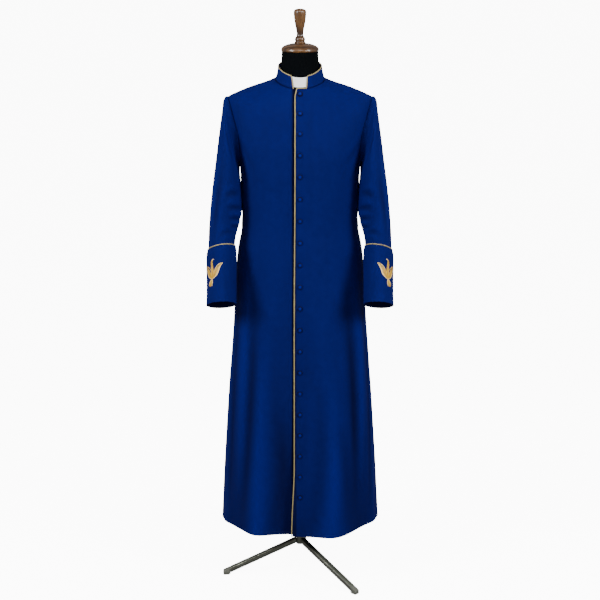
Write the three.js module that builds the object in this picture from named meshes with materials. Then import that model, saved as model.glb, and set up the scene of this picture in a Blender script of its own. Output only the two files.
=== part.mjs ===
// A single-breasted clergy cassock worn by a limbless dress form on a three-legged stand.
// Millimetres, +Z up. The front faces -Y, the wearer's left is +X, and the feet stand on z = 0.
import * as THREE from "three";

const { clamp, degToRad, lerp, smoothstep } = THREE.MathUtils;

// Cloth and trim sizes
const WALL = 2;
const BAND_WALL = 2.4;
const CUFF_WALL = 2.6;
const TAB_WALL = 1;
const SEAM_GAP = 0.4;
const UNDER_SINK = 3.6;
const CORD_RADIUS = 1.8;
const CORD_SIDES = 5;
const OVERLAP = 13;
const UNDERLAP = 16;
const GAP_LOW = { right: -22.2, left: 21.9 };
const GAP_HIGH = { right: -28.4, left: 24.7 };
const TAB_HALF = 34;
const BUTTON_CHEST = [1610, 1552, 1492, 1427];
const BUTTON_START = 1361;
const BUTTON_PITCH = 69.2;
const BUTTON_ROW = 16;
const BUTTON_RADIUS = 7.6;
const BUTTON_HEIGHT = 5;
const BUTTON_GAP = 0.5;
// The cord's stand-off from the edges it follows, and how far its corners are rounded.
const CORD_LIFT = CORD_RADIUS + 0.9;
const CORD_CORNER = 2.8;
const SHARP_TURN = 140;
// The under front sinks across this strip of x; at the hem the upper one lifts and the under one drops.
const SINK_FROM = -27.5;
const SINK_TO = -23.5;
const LAP_TOP = 560;
const LAP_LIFT = 12;
const LIFT_FROM = -70;
const LAP_DROP = 7;
const DROP_FROM = -110;
const DROP_TO = -30;
// The upper front's edge is rounded off at the neck, and drifts outwards down the chest and at the hem.
const EDGE_ROUND = { by: 4.5, from: 1600, to: 1626 };
const EDGE_DRIFT = { by: 3.2, from: 800, to: 1450 };
const HEM_DRIFT = { by: 8, from: 187, to: 430 };

// The body of the cassock: one row for each ring round the wearer, from the hem to the neck seam.
// front, side and back are the ring's heights; half, fore and aft its reach sideways, forward and back.
// square shapes its corners, and bend is 1 for a ring that tilts flat and 2 for one that drapes.
const HEM = 187;
const BODY = [
  { front: HEM, side: HEM, back: HEM, half: 257, fore: 131, aft: 176, square: 2.4, bend: 2 },
  { front: 400, side: 400, back: 400, half: 247, fore: 132, aft: 166, square: 2.4, bend: 2 },
  { front: 640, side: 640, back: 640, half: 233, fore: 131, aft: 152, square: 2.4, bend: 2 },
  { front: 860, side: 860, back: 860, half: 216, fore: 128, aft: 138, square: 2.35, bend: 2 },
  { front: 1010, side: 1010, back: 1010, half: 207, fore: 124, aft: 126, square: 2.3, bend: 2 },
  { front: 1110, side: 1110, back: 1110, half: 198.5, fore: 120, aft: 112, square: 2.3, bend: 2 },
  { front: 1190, side: 1190, back: 1190, half: 184.5, fore: 117, aft: 104, square: 2.3, bend: 2 },
  { front: 1285, side: 1285, back: 1285, half: 186.5, fore: 122, aft: 112, square: 2.3, bend: 2 },
  { front: 1372, side: 1376, back: 1374, half: 189, fore: 127, aft: 122, square: 2.35, bend: 2 },
  { front: 1452, side: 1486, back: 1464, half: 207, fore: 127, aft: 126, square: 2.3, bend: 2 },
  { front: 1530, side: 1598, back: 1560, half: 223, fore: 114, aft: 117, square: 2.1, bend: 2 },
  { front: 1581, side: 1629, back: 1620, half: 151, fore: 96, aft: 96, square: 2, bend: 1.8 },
  { front: 1624, side: 1650, back: 1673, half: 77, fore: 78, aft: 68, square: 2, bend: 1.3 },
];
const UNDERARM_ROW = 8;
const SHOULDER_ROW = 10;
const NECK_ROW = BODY.length - 1;
// Just above the armhole the side of the rings falls back by this much a row: a straight shoulder line.
const SHOULDER_FALL = { by: 54, near: 6 };
const ARMHOLE_STEPS = 10;
const ARMHOLE_SPREAD = 27;
const FRONT_COLUMNS = 10;
const BACK_COLUMNS = 34;
// How many grid rows each row of the table takes below the underarm, and the grid rows above the shoulder.
const LOWER_STEPS = [3, 3, 3, 2, 2, 2, 2, 2];
const SHOULDER_ROWS = [10.45, 10.9, 11.45, NECK_ROW];

// Soft folds of the skirt: each one's place round the body, its reach at the hem, its spread in degrees
// and the height where it dies out.
const FOLDS = [
  { turn: -31, reach: 23.5, spread: 10.5, top: 1020 },
  { turn: -62, reach: -19, spread: 19, top: 780 },
  { turn: 22, reach: 37, spread: 15.5, top: 1060 },
  { turn: 59, reach: -23.5, spread: 22.5, top: 840 },
  { turn: 104, reach: 12, spread: 9, top: 980 },
  { turn: 132, reach: 25, spread: 10, top: 1120 },
  { turn: 158, reach: 23, spread: 8, top: 1100 },
  { turn: 180, reach: 32, spread: 8, top: 1150 },
  { turn: 203, reach: 21, spread: 8, top: 1090 },
  { turn: 229, reach: 27, spread: 10, top: 1120 },
  { turn: 257, reach: 10, spread: 9, top: 960 },
];
const FOLD_FADE = 1.3;

// The standing collar band, from the neck seam to its top edge.
const COLLAR = [
  { front: 1624, side: 1650, back: 1673, half: 77, fore: 78, aft: 68, square: 2, bend: 1.3 },
  { front: 1642, side: 1670, back: 1692, half: 71.5, fore: 72.5, aft: 64.5, square: 2, bend: 1.3 },
  { front: 1659, side: 1689, back: 1712, half: 68.5, fore: 68, aft: 62, square: 2, bend: 1.3 },
];
const COLLAR_ROWS = 4;
const COLLAR_COLUMNS = 34;
const TAB_COLUMNS = 6;
const TAB_ROWS = [0.4, 1, 1.5, 2];

// The left sleeve below its armhole ring: the outer and inner points of each ring seen from the front,
// half its depth, the place of its centre from front to back, and how far it leans forward.
const SLEEVE = [
  { outX: 233, outZ: 1595.5, inX: 191, inZ: 1375.5, depth: 66, mid: 1, lean: 0 },
  { outX: 238.6, outZ: 1583, inX: 189.7, inZ: 1371, depth: 69, mid: -8, lean: 0 },
  { outX: 241.3, outZ: 1556, inX: 188.9, inZ: 1364, depth: 72, mid: -20, lean: 1 },
  { outX: 247.2, outZ: 1512, inX: 187.3, inZ: 1353, depth: 73, mid: -31, lean: 2 },
  { outX: 255, outZ: 1455, inX: 185.7, inZ: 1334, depth: 73, mid: -39, lean: 4 },
  { outX: 263.5, outZ: 1393, inX: 184.4, inZ: 1305, depth: 72, mid: -45, lean: 6 },
  { outX: 271.9, outZ: 1334, inX: 182.8, inZ: 1268, depth: 70.5, mid: -49, lean: 9 },
  { outX: 278.5, outZ: 1280, inX: 184.5, inZ: 1232, depth: 68.5, mid: -52, lean: 13 },
  { outX: 283, outZ: 1230, inX: 193, inZ: 1198, depth: 67, mid: -56, lean: 17 },
  { outX: 286.5, outZ: 1176, inX: 201.5, inZ: 1168, depth: 66, mid: -63, lean: 20 },
  { outX: 288, outZ: 1119, inX: 205, inZ: 1134, depth: 65.5, mid: -74, lean: 21.5 },
  { outX: 287, outZ: 1068, inX: 205, inZ: 1079, depth: 65.5, mid: -91, lean: 22 },
  { outX: 286.5, outZ: 1014, inX: 204.5, inZ: 1022, depth: 65.5, mid: -114.5, lean: 22 },
  { outX: 287.5, outZ: 960, inX: 203.5, inZ: 965, depth: 66, mid: -138, lean: 22 },
];
const SLEEVE_LAST = SLEEVE.length - 1;
// The turned-back cuff: rows of the sleeve table, and how far it stands off the sleeve.
const CUFF = [
  { row: 10, swell: 3.2 },
  { row: 10.14, swell: 5.6 },
  { row: 10.5, swell: 6.8 },
  { row: 11.4, swell: 6 },
  { row: 12.3, swell: 5.4 },
  { row: 13.03, swell: 5 },
];
// The cuff's cord runs this far above its top edge.
const CUFF_CORD_RISE = 2.86;

// The dress form keeps inside the cassock by these distances, from its lower edge to the neck seam.
const FORM_INSET = [
  { row: 3.8, side: 46, fore: 30 },
  { row: 4, side: 38, fore: 22 },
  { row: 4.6, side: 34, fore: 20 },
  { row: 5.2, side: 30, fore: 18 },
  { row: 6, side: 25, fore: 16 },
  { row: 7, side: 17, fore: 13 },
  { row: 8, side: 11, fore: 11 },
  { row: 8.6, side: 9, fore: 10 },
  { row: 9.3, side: 8, fore: 9 },
  { row: 9.8, side: 7, fore: 8 },
  { row: 10.1, side: 6.5, fore: 7.5 },
  { row: 10.6, side: 6, fore: 7 },
  { row: 11.1, side: 6, fore: 7 },
  { row: 11.6, side: 6, fore: 7.5 },
  { row: 11.95, side: 7, fore: 9 },
];
// The neck of the form, from inside the collar to the wooden cap.
const FORM_NECK = [
  { front: 1642, side: 1667, back: 1688, half: 63, fore: 62, aft: 57, square: 2, bend: 1 },
  { front: 1668, side: 1686, back: 1704, half: 59, fore: 58, aft: 56, square: 2, bend: 1 },
  { front: 1699, side: 1709, back: 1719, half: 57.8, fore: 56.5, aft: 56.5, square: 2, bend: 1 },
  { front: 1731.2, side: 1734.2, back: 1737.2, half: 56.8, fore: 56, aft: 56.5, square: 2, bend: 1 },
];
const FORM_COLUMNS = 26;
const CAP_TILT = 3;
const CAP_Z = 1735;
const CAP_RADIUS = 58.5;
// Radius and height of the cap and of the finial above the cap's underside.
const CAP_PROFILE = [
  [0, 0],
  [CAP_RADIUS - 3, 0],
  [CAP_RADIUS, 3.5],
  [CAP_RADIUS - 0.6, 8],
  [CAP_RADIUS - 5, 13.5],
  [CAP_RADIUS - 19, 20.5],
  [CAP_RADIUS - 36, 24],
  [0, 24.6],
];
const FINIAL_BASE = 25;
const FINIAL_PROFILE = [
  [0, 0],
  [17, 0],
  [15.4, 4],
  [16, 12],
  [14.4, 17],
  [10.6, 21],
  [10.2, 28],
  [12, 40],
  [15.8, 58],
  [18.6, 78],
  [19.6, 92],
  [18.4, 98],
  [11, 102.5],
  [0, 104],
];

// The stand
const BASE_PLATE_TOP = 980;
const BASE_PLATE_THICK = 12;
const BASE_PLATE_HALF = 146;
const BASE_PLATE_DEPTH = 84;
const POLE_RADIUS = 11;
const HUB_RADIUS = 13;
const HUB_LOW_Z = 101;
const HUB_HIGH_Z = 142;
const LEG_TURNS = { right: 186, left: 316, back: 87 };
const LEG_WIDE = 19;
const LEG_TALL = 16;
const LEG_ROOT_Z = 106;
const LEG_REACH = 236;
const FOOT_END = 261;
const LEG_SLOPE = 0.44;
const SHOE_CHAMFER = 4;
const TOUCH_GAP = 0.3;

const MATERIALS = {
  cloth: new THREE.MeshStandardMaterial({ color: 0x05296b, roughness: 0.85, metalness: 0 }),
  trim: new THREE.MeshStandardMaterial({ color: 0xc2aa7c, roughness: 0.6, metalness: 0 }),
  tab: new THREE.MeshStandardMaterial({ color: 0xe8ebea, roughness: 0.6, metalness: 0 }),
  cover: new THREE.MeshStandardMaterial({ color: 0x0b0c11, roughness: 0.9, metalness: 0 }),
  wood: new THREE.MeshStandardMaterial({ color: 0x6e4b2c, roughness: 0.4, metalness: 0 }),
  steel: new THREE.MeshStandardMaterial({ color: 0x8a8b86, roughness: 0.35, metalness: 0.9 }),
  shoe: new THREE.MeshStandardMaterial({ color: 0x6a6b68, roughness: 0.6, metalness: 0 }),
};

const model = new THREE.Group();

function add(name, geometry, material) {
  const mesh = new THREE.Mesh(geometry, material);
  mesh.name = name;
  model.add(mesh);
  return mesh;
}

// The value of one column of a section table at a fractional row, on a smooth curve through the rows.
function column(table, key, row) {
  const last = table.length - 1;
  const i = clamp(Math.floor(row), 0, last - 1);
  const t = row - i;
  const [a, b, c, d] = [i - 1, i, i + 1, i + 2].map((k) => table[clamp(k, 0, last)][key]);
  return b + 0.5 * t * (c - a + t * (2 * a - 5 * b + 4 * c - d + t * (3 * (b - c) + d - a)));
}

// A point of a ring. turn is 0 at the front, 90 at the wearer's left and 180 at the back.
function ringPoint(table, row, turn) {
  const [s, c] = [Math.sin(degToRad(turn)), Math.cos(degToRad(turn))];
  const square = column(table, "square", row);
  const swell = (Math.abs(s) ** square + Math.abs(c) ** square) ** (-1 / square);
  const reach = column(table, c > 0 ? "fore" : "aft", row);
  const end = column(table, c > 0 ? "front" : "back", row);
  const z = lerp(column(table, "side", row), end, Math.abs(c) ** column(table, "bend", row));
  const fall = table === BODY ? shoulderFall(row) * Math.abs(s) ** SHOULDER_FALL.near : 0;
  return new THREE.Vector3(column(table, "half", row) * swell * s, -reach * swell * c, z - fall);
}

function shoulderFall(row) {
  const t = clamp(row - SHOULDER_ROW, 0, 1);
  return SHOULDER_FALL.by * t * (1 - t) ** 2;
}

// How far the skirt's folds push the cloth out.
function foldReach(turn, z) {
  return FOLDS.reduce((sum, fold) => {
    const off = (((((turn - fold.turn) % 360) + 540) % 360) - 180) / fold.spread;
    const fade = clamp((fold.top - z) / (fold.top - HEM), 0, 1) ** FOLD_FADE;
    return sum + fold.reach * fade * Math.exp(-off * off);
  }, 0);
}

// How far the two fronts step apart where they lap: the upper one lifts at the hem, the under one sinks.
function lapStep(layer, x, z) {
  const low = 1 - smoothstep(z, HEM, LAP_TOP);
  if (layer === "upper") return LAP_LIFT * low * smoothstep(-x, LIFT_FROM, OVERLAP);
  if (layer !== "under") return 0;
  return -UNDER_SINK * smoothstep(x, SINK_FROM, SINK_TO) - LAP_DROP * low * smoothstep(x, DROP_FROM, DROP_TO);
}

// A point of the cassock's outer face.
function clothPoint(row, turn, layer = "") {
  const point = ringPoint(BODY, row, turn);
  const reach = column(BODY, Math.cos(degToRad(turn)) > 0 ? "fore" : "aft", row);
  const half = column(BODY, "half", row);
  const out = new THREE.Vector3(point.x / (half * half), point.y / (reach * reach), 0).normalize();
  const step = lapStep(layer, point.x, point.z);
  point.addScaledVector(out, foldReach(turn, point.z) + step);
  if (layer === "under") point.z += 0.3 * Math.max(step, -UNDER_SINK);
  return point;
}

// The direction that the cloth faces at a point.
function clothNormal(row, turn, layer = "") {
  const along = clothPoint(row, turn + 0.5, layer).sub(clothPoint(row, turn - 0.5, layer));
  const up = clothPoint(row + 0.01, turn, layer).sub(clothPoint(row - 0.01, turn, layer));
  return along.cross(up).normalize();
}

// The turn at which a ring has a given small x near its front.
function turnAt(table, row, x) {
  return (Math.asin(x / column(table, "half", row)) * 180) / Math.PI;
}

// How many degrees of a row the armhole takes on each side of the side seam.
function armholeTurn(row) {
  const t = (row - UNDERARM_ROW) / (SHOULDER_ROW - UNDERARM_ROW);
  return t > 0 && t < 1 ? ARMHOLE_SPREAD * 2 * Math.sqrt(t * (1 - t)) : 0;
}

// The rows of every panel: even steps below the underarm, and eased ones round the armhole.
function panelRows() {
  const rows = [];
  LOWER_STEPS.forEach((count, i) => {
    for (let k = 0; k < count; k++) rows.push(i + k / count);
  });
  for (let k = 0; k <= ARMHOLE_STEPS; k++) {
    const ease = 0.5 - 0.5 * Math.cos((Math.PI * k) / ARMHOLE_STEPS);
    rows.push(lerp(UNDERARM_ROW, SHOULDER_ROW, ease));
  }
  return [...rows, ...SHOULDER_ROWS];
}

// Moves the edge of a grid in by half a seam gap, so that neighbouring pieces stay apart.
function trimGrid(grid, sides = true) {
  const pull = (edge, next) => edge.addScaledVector(next.clone().sub(edge).normalize(), SEAM_GAP / 2);
  const last = grid.length - 1;
  grid[0].forEach((point, j) => pull(point, grid[1][j]));
  grid[last].forEach((point, j) => pull(point, grid[last - 1][j]));
  if (sides) {
    grid.forEach((line) => {
      pull(line[0], line[1]);
      pull(line[line.length - 1], line[line.length - 2]);
    });
  }
  return grid;
}

// The same grid moved along its own normals; outwards is to the left of a row seen from above.
function offsetGrid(grid, distance, wrap) {
  const [rows, columns] = [grid.length, grid[0].length];
  return grid.map((line, i) =>
    line.map((point, j) => {
      const before = wrap ? (j + columns - 1) % columns : Math.max(j - 1, 0);
      const after = wrap ? (j + 1) % columns : Math.min(j + 1, columns - 1);
      const along = line[after].clone().sub(line[before]);
      const up = grid[Math.min(i + 1, rows - 1)][j].clone().sub(grid[Math.max(i - 1, 0)][j]);
      return point.clone().addScaledVector(along.cross(up).normalize(), distance);
    }),
  );
}

function geometryOf(points, triangles) {
  const geometry = new THREE.BufferGeometry();
  const flat = points.flatMap((point) => [point.x, point.y, point.z]);
  geometry.setAttribute("position", new THREE.Float32BufferAttribute(flat, 3));
  geometry.setIndex(triangles.flat());
  geometry.computeVertexNormals();
  return geometry;
}

// A closed wall between an outer grid and an inner one, joined along every free edge.
function wallBetween(outer, inner, wrap) {
  const [rows, columns] = [outer.length, outer[0].length];
  const out = (i, j) => i * columns + (j % columns);
  const back = (i, j) => rows * columns + out(i, j);
  const triangles = [];
  const quad = (a, b, c, d) => triangles.push([a, b, c], [a, c, d]);
  const spans = wrap ? columns : columns - 1;
  for (let i = 0; i < rows - 1; i++) {
    for (let j = 0; j < spans; j++) {
      quad(out(i, j), out(i, j + 1), out(i + 1, j + 1), out(i + 1, j));
      quad(back(i, j), back(i + 1, j), back(i + 1, j + 1), back(i, j + 1));
    }
    if (!wrap) {
      quad(out(i, 0), out(i + 1, 0), back(i + 1, 0), back(i, 0));
      quad(out(i, spans), back(i, spans), back(i + 1, spans), out(i + 1, spans));
    }
  }
  for (let j = 0; j < spans; j++) {
    quad(back(0, j), back(0, j + 1), out(0, j + 1), out(0, j));
    quad(back(rows - 1, j), out(rows - 1, j), out(rows - 1, j + 1), back(rows - 1, j + 1));
  }
  return geometryOf([...outer.flat(), ...inner.flat()], triangles);
}

function wall(outer, thickness, wrap = false) {
  return wallBetween(outer, offsetGrid(outer, -thickness, wrap), wrap);
}

// A solid skinned over closed rings, with its two ends closed by fans.
function skin(rings, closed = false) {
  const columns = rings[0].length;
  const at = (i, j) => (i % rings.length) * columns + (j % columns);
  const points = rings.flat();
  const triangles = [];
  const spans = closed ? rings.length : rings.length - 1;
  for (let i = 0; i < spans; i++) {
    for (let j = 0; j < columns; j++) {
      triangles.push([at(i, j), at(i, j + 1), at(i + 1, j + 1)]);
      triangles.push([at(i, j), at(i + 1, j + 1), at(i + 1, j)]);
    }
  }
  if (!closed) {
    const centre = (ring) => ring.reduce((sum, p) => sum.add(p), new THREE.Vector3()).divideScalar(columns);
    points.push(centre(rings[0]), centre(rings[rings.length - 1]));
    for (let j = 0; j < columns; j++) {
      triangles.push([at(0, j + 1), at(0, j), points.length - 2]);
      triangles.push([at(spans, j), at(spans, j + 1), points.length - 1]);
    }
  }
  return geometryOf(points, triangles);
}

// A round cord along a path of points.
function cord(path, closed = false) {
  const count = path.length;
  const pick = (i) => path[closed ? (i + count) % count : clamp(i, 0, count - 1)];
  let side = new THREE.Vector3(0, 0, 1);
  if (Math.abs(pick(1).clone().sub(path[0]).normalize().z) > 0.9) side.set(0, 1, 0);
  const rings = path.map((point, i) => {
    const along = pick(i + 1).clone().sub(pick(i - 1)).normalize();
    side = side.clone().addScaledVector(along, -side.dot(along)).normalize();
    const other = along.clone().cross(side);
    return Array.from({ length: CORD_SIDES }, (_, k) => {
      const angle = (2 * Math.PI * k) / CORD_SIDES;
      const offset = side.clone().multiplyScalar(Math.cos(angle) * CORD_RADIUS);
      return point.clone().add(offset).addScaledVector(other, Math.sin(angle) * CORD_RADIUS);
    });
  });
  return skin(rings, closed);
}

// Rounds the sharp corners of a path.
function softCorners(path, reach) {
  const soft = [path[0]];
  for (let i = 1; i < path.length - 1; i++) {
    const back = path[i - 1].clone().sub(path[i]);
    const ahead = path[i + 1].clone().sub(path[i]);
    if (back.angleTo(ahead) > degToRad(SHARP_TURN)) {
      soft.push(path[i]);
      continue;
    }
    const from = path[i].clone().addScaledVector(back.normalize(), reach);
    const to = path[i].clone().addScaledVector(ahead.normalize(), reach);
    const bend = new THREE.QuadraticBezierCurve3(from, path[i], to);
    soft.push(...bend.getPoints(3));
  }
  soft.push(path[path.length - 1]);
  return soft;
}

// A grid over the body with its columns' turns given for each row, sunk by a depth into the cloth.
function bodyGrid(turnsOf, layer, depth) {
  return panelRows().map((row) =>
    turnsOf(row).map((turn) =>
      clothPoint(row, turn, layer).addScaledVector(clothNormal(row, turn, layer), -depth),
    ),
  );
}

function evenly(from, to, count) {
  return Array.from({ length: count + 1 }, (_, j) => lerp(from, to, j / count));
}

// The upper front's edge, beside the buttons.
function edgeTurn(row) {
  const z = ringPoint(BODY, row, 0).z;
  const above = ({ by, from, to }) => by * smoothstep(z, from, to);
  const below = (bend) => bend.by - above(bend);
  return turnAt(BODY, row, above(EDGE_ROUND) - below(EDGE_DRIFT) - below(HEM_DRIFT) - OVERLAP);
}

// The three panels. The upper front's own face is handed on to its buttons and piping.
function addBody() {
  const side = (row) => 90 - armholeTurn(row);
  const upper = (row) => [edgeTurn(row), ...evenly(0, side(row), FRONT_COLUMNS)];
  const under = (row) => [
    ...evenly(-side(row), turnAt(BODY, row, SINK_FROM), FRONT_COLUMNS),
    turnAt(BODY, row, SINK_TO),
    turnAt(BODY, row, UNDERLAP),
  ];
  const back = (row) => evenly(180 - side(row), 180 + side(row), BACK_COLUMNS);
  for (const [name, turnsOf, layer] of [
    ["front_left", upper, "upper"],
    ["front_right", under, "under"],
    ["back", back, ""],
  ]) {
    const outer = trimGrid(bodyGrid(turnsOf, layer, 0));
    const inner = trimGrid(bodyGrid(turnsOf, layer, WALL));
    add(name, wallBetween(outer, inner, false), MATERIALS.cloth);
  }
  return bodyGrid(upper, "upper", 0);
}

// The collar band from one side of the front gap round the neck to the other.
function addCollar() {
  const grid = [];
  for (let i = 0; i <= COLLAR_ROWS; i++) {
    const row = (2 * i) / COLLAR_ROWS;
    const from = turnAt(COLLAR, row, lerp(GAP_LOW.left, GAP_HIGH.left, row / 2));
    const to = 360 + turnAt(COLLAR, row, lerp(GAP_LOW.right, GAP_HIGH.right, row / 2));
    grid.push(evenly(from, to, COLLAR_COLUMNS).map((turn) => ringPoint(COLLAR, row, turn)));
  }
  trimGrid(grid, false);
  grid[0].forEach((point) => point.setZ(point.z + SEAM_GAP / 2));
  add("collar", wall(grid, BAND_WALL), MATERIALS.cloth);
  return grid;
}

// The white tab stands behind the gap, against the inside of the band.
function addTab() {
  const grid = TAB_ROWS.map((row) => {
    const turn = turnAt(COLLAR, row, TAB_HALF);
    return Array.from({ length: TAB_COLUMNS + 1 }, (_, j) =>
      ringPoint(COLLAR, row, lerp(-turn, turn, j / TAB_COLUMNS)),
    );
  });
  const front = offsetGrid(grid, -BAND_WALL - SEAM_GAP, false);
  const rear = offsetGrid(grid, -BAND_WALL - SEAM_GAP - TAB_WALL, false);
  add("collar_tab", wallBetween(front, rear, false), MATERIALS.tab);
}

// One cord runs up the gap, round the collar, down the gap, along the neckline and down the front edge.
function addFrontPiping(collar, upper) {
  const middle = offsetGrid(collar, -BAND_WALL / 2, false);
  const away = (point, next) =>
    point.clone().addScaledVector(point.clone().sub(next).normalize(), CORD_LIFT);
  const [top, last] = [COLLAR_ROWS, COLLAR_COLUMNS];
  const rise = middle[top].map((point, j) => away(point, middle[top - 1][j]));
  const rightEdge = middle.map((line) => away(line[last], line[last - 1]));
  const leftEdge = middle.map((line) => away(line[0], line[1]));
  const corner = (edge) => away(edge[top], edge[top - 1]);
  const neckLine = (x) => {
    const point = clothPoint(NECK_ROW, turnAt(BODY, NECK_ROW, x), "upper");
    return point.setZ(point.z + CORD_LIFT);
  };
  const frontEdge = upper.map((line) => away(line[0], line[1])).reverse();
  const path = [
    ...rightEdge.slice(0, top),
    corner(rightEdge),
    ...rise.slice(1, last).reverse(),
    corner(leftEdge),
    ...leftEdge.slice(1, top).reverse(),
    neckLine(GAP_LOW.left - CORD_LIFT),
    neckLine((GAP_LOW.left - OVERLAP) / 2),
    neckLine(upper[upper.length - 1][0].x - CORD_LIFT / 2),
    ...frontEdge.slice(1),
  ];
  add("piping_front", cord(softCorners(path, CORD_CORNER)), MATERIALS.trim);
}

// The covered buttons stand on the upper front's centre line, which is column 1 of its face.
function addButtons(upper) {
  const profile = [
    [0, 0],
    [0.86 * BUTTON_RADIUS, 0],
    [BUTTON_RADIUS, 0.3 * BUTTON_HEIGHT],
    [0.72 * BUTTON_RADIUS, 0.8 * BUTTON_HEIGHT],
    [0, BUTTON_HEIGHT],
  ].map(([x, y]) => new THREE.Vector2(x, y));
  const row = Array.from({ length: BUTTON_ROW }, (_, i) => BUTTON_START - i * BUTTON_PITCH);
  [...BUTTON_CHEST, ...row].forEach((z, i) => {
    const k = upper.findIndex((line) => line[1].z > z);
    const [low, high] = [upper[k - 1], upper[k]];
    const seat = low[1].clone().lerp(high[1], (z - low[1].z) / (high[1].z - low[1].z));
    const normal = low[2].clone().sub(low[0]).cross(high[1].clone().sub(low[1])).normalize();
    const name = "button_" + String(i + 1).padStart(2, "0");
    const button = add(name, new THREE.LatheGeometry(profile, 8), MATERIALS.cloth);
    button.quaternion.setFromUnitVectors(new THREE.Vector3(0, 1, 0), normal);
    button.position.copy(seat).addScaledVector(normal, BUTTON_GAP);
  });
}

// A ring of the left sleeve; phase 0 is its outer point and 90 its front.
function sleeveRing(row, swell = 0) {
  const get = (key) => column(SLEEVE, key, row);
  const outer = new THREE.Vector3(get("outX"), get("mid"), get("outZ"));
  const inner = new THREE.Vector3(get("inX"), get("mid"), get("inZ"));
  const centre = outer.clone().add(inner).multiplyScalar(0.5);
  const wide = outer.sub(centre);
  const half = wide.length() + swell;
  wide.normalize();
  const lean = degToRad(get("lean"));
  const front = new THREE.Vector3(0, -Math.cos(lean), Math.sin(lean)).multiplyScalar(get("depth") + swell);
  return Array.from({ length: 2 * ARMHOLE_STEPS }, (_, j) => {
    const phase = (Math.PI * j) / ARMHOLE_STEPS;
    const point = centre.clone().addScaledVector(wide, half * Math.cos(phase));
    return point.addScaledVector(front, Math.sin(phase));
  });
}

// The armhole's ring on the body, drawn in by the seam gap, with its points at the panels' own rows.
function armholeRing(inset) {
  const ring = Array.from({ length: 2 * ARMHOLE_STEPS }, (_, j) => {
    const phase = (Math.PI * j) / ARMHOLE_STEPS;
    const row = lerp(UNDERARM_ROW, SHOULDER_ROW, 0.5 + 0.5 * Math.cos(phase));
    const turn = 90 - ARMHOLE_SPREAD * Math.sin(phase);
    return clothPoint(row, turn).addScaledVector(clothNormal(row, turn), -inset);
  });
  const centre = ring.reduce((sum, p) => sum.add(p), new THREE.Vector3()).divideScalar(ring.length);
  return ring.map((p) => p.addScaledVector(centre.clone().sub(p).normalize(), SEAM_GAP));
}

// The same grid on the wearer's right side.
function mirrorGrid(grid) {
  return grid.map((line) => line.map((p) => new THREE.Vector3(-p.x, p.y, p.z)).reverse());
}

function addSleeves() {
  const outer = [armholeRing(0)];
  for (let row = 0; row <= SLEEVE_LAST; row++) outer.push(sleeveRing(row));
  const inner = offsetGrid(outer, -WALL, true);
  inner[0] = armholeRing(WALL);
  const cuff = CUFF.map(({ row, swell }) => sleeveRing(row, swell));
  const [above, below] = [SLEEVE[CUFF[0].row - 1], SLEEVE[CUFF[0].row]];
  const rise = CUFF_CORD_RISE / (above.inZ - below.inZ);
  const piping = sleeveRing(CUFF[0].row - rise, CORD_RADIUS + 2 * SEAM_GAP);
  for (const [side, turn] of [["left", (grid) => grid], ["right", mirrorGrid]]) {
    add("sleeve_" + side, wallBetween(turn(outer), turn(inner), true), MATERIALS.cloth);
    add("cuff_" + side, wall(turn(cuff), CUFF_WALL, true), MATERIALS.cloth);
    add("piping_cuff_" + side, cord(turn([piping])[0], true), MATERIALS.trim);
  }
}

// The padded form, skinned over rings that keep inside the cassock and then over its own neck.
function addForm() {
  const insetAt = (entry, turn) => {
    const c = Math.cos(degToRad(turn));
    return lerp(entry.side, entry.fore, c * c);
  };
  const turns = Array.from({ length: FORM_COLUMNS }, (_, j) => (360 * j) / FORM_COLUMNS);
  const rings = FORM_INSET.map((entry) =>
    turns.map((turn) => {
      const point = ringPoint(BODY, entry.row, turn);
      const along = ringPoint(BODY, entry.row, turn + 1).sub(ringPoint(BODY, entry.row, turn - 1));
      const up = ringPoint(BODY, entry.row + 0.02, turn).sub(ringPoint(BODY, entry.row - 0.02, turn));
      return point.addScaledVector(along.cross(up).normalize(), -insetAt(entry, turn));
    }),
  );
  rings[0].forEach((point) => point.setZ(BASE_PLATE_TOP + TOUCH_GAP));
  FORM_NECK.forEach((_, row) => rings.push(turns.map((turn) => ringPoint(FORM_NECK, row, turn))));
  add("form_body", skin(rings), MATERIALS.cover);
}

function lathe(profile, segments) {
  return new THREE.LatheGeometry(profile.map(([x, y]) => new THREE.Vector2(x, y)), segments);
}

// The wooden cap and finial, tilted forward with the neck.
function addCap() {
  const head = new THREE.Group();
  head.position.set(0, 0, CAP_Z);
  head.rotation.x = degToRad(90 + CAP_TILT);
  model.add(head);
  const cap = add("neck_cap", lathe(CAP_PROFILE, 20), MATERIALS.wood);
  const finial = add("finial", lathe(FINIAL_PROFILE, 16), MATERIALS.wood);
  finial.position.y = FINIAL_BASE;
  head.add(cap, finial);
}

// The plate under the form, the pole, the hub and the three legs with their shoes.
function addStand() {
  const oval = new THREE.Shape().absellipse(0, 0, BASE_PLATE_HALF, BASE_PLATE_DEPTH, 0, 2 * Math.PI);
  const options = { depth: BASE_PLATE_THICK, bevelEnabled: false, curveSegments: 12 };
  const plate = add("base_plate", new THREE.ExtrudeGeometry(oval, options), MATERIALS.wood);
  plate.position.z = BASE_PLATE_TOP - BASE_PLATE_THICK;
  addUpright("pole", POLE_RADIUS, HUB_HIGH_Z + TOUCH_GAP, BASE_PLATE_TOP - BASE_PLATE_THICK - TOUCH_GAP);
  addUpright("hub", HUB_RADIUS, HUB_LOW_Z, HUB_HIGH_Z);
  for (const [side, turn] of Object.entries(LEG_TURNS)) addLeg(side, turn);
}

function addUpright(name, radius, low, high) {
  const mesh = add(name, new THREE.CylinderGeometry(radius, radius, high - low, 16), MATERIALS.steel);
  mesh.rotation.x = Math.PI / 2;
  mesh.position.z = (low + high) / 2;
}

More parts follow.
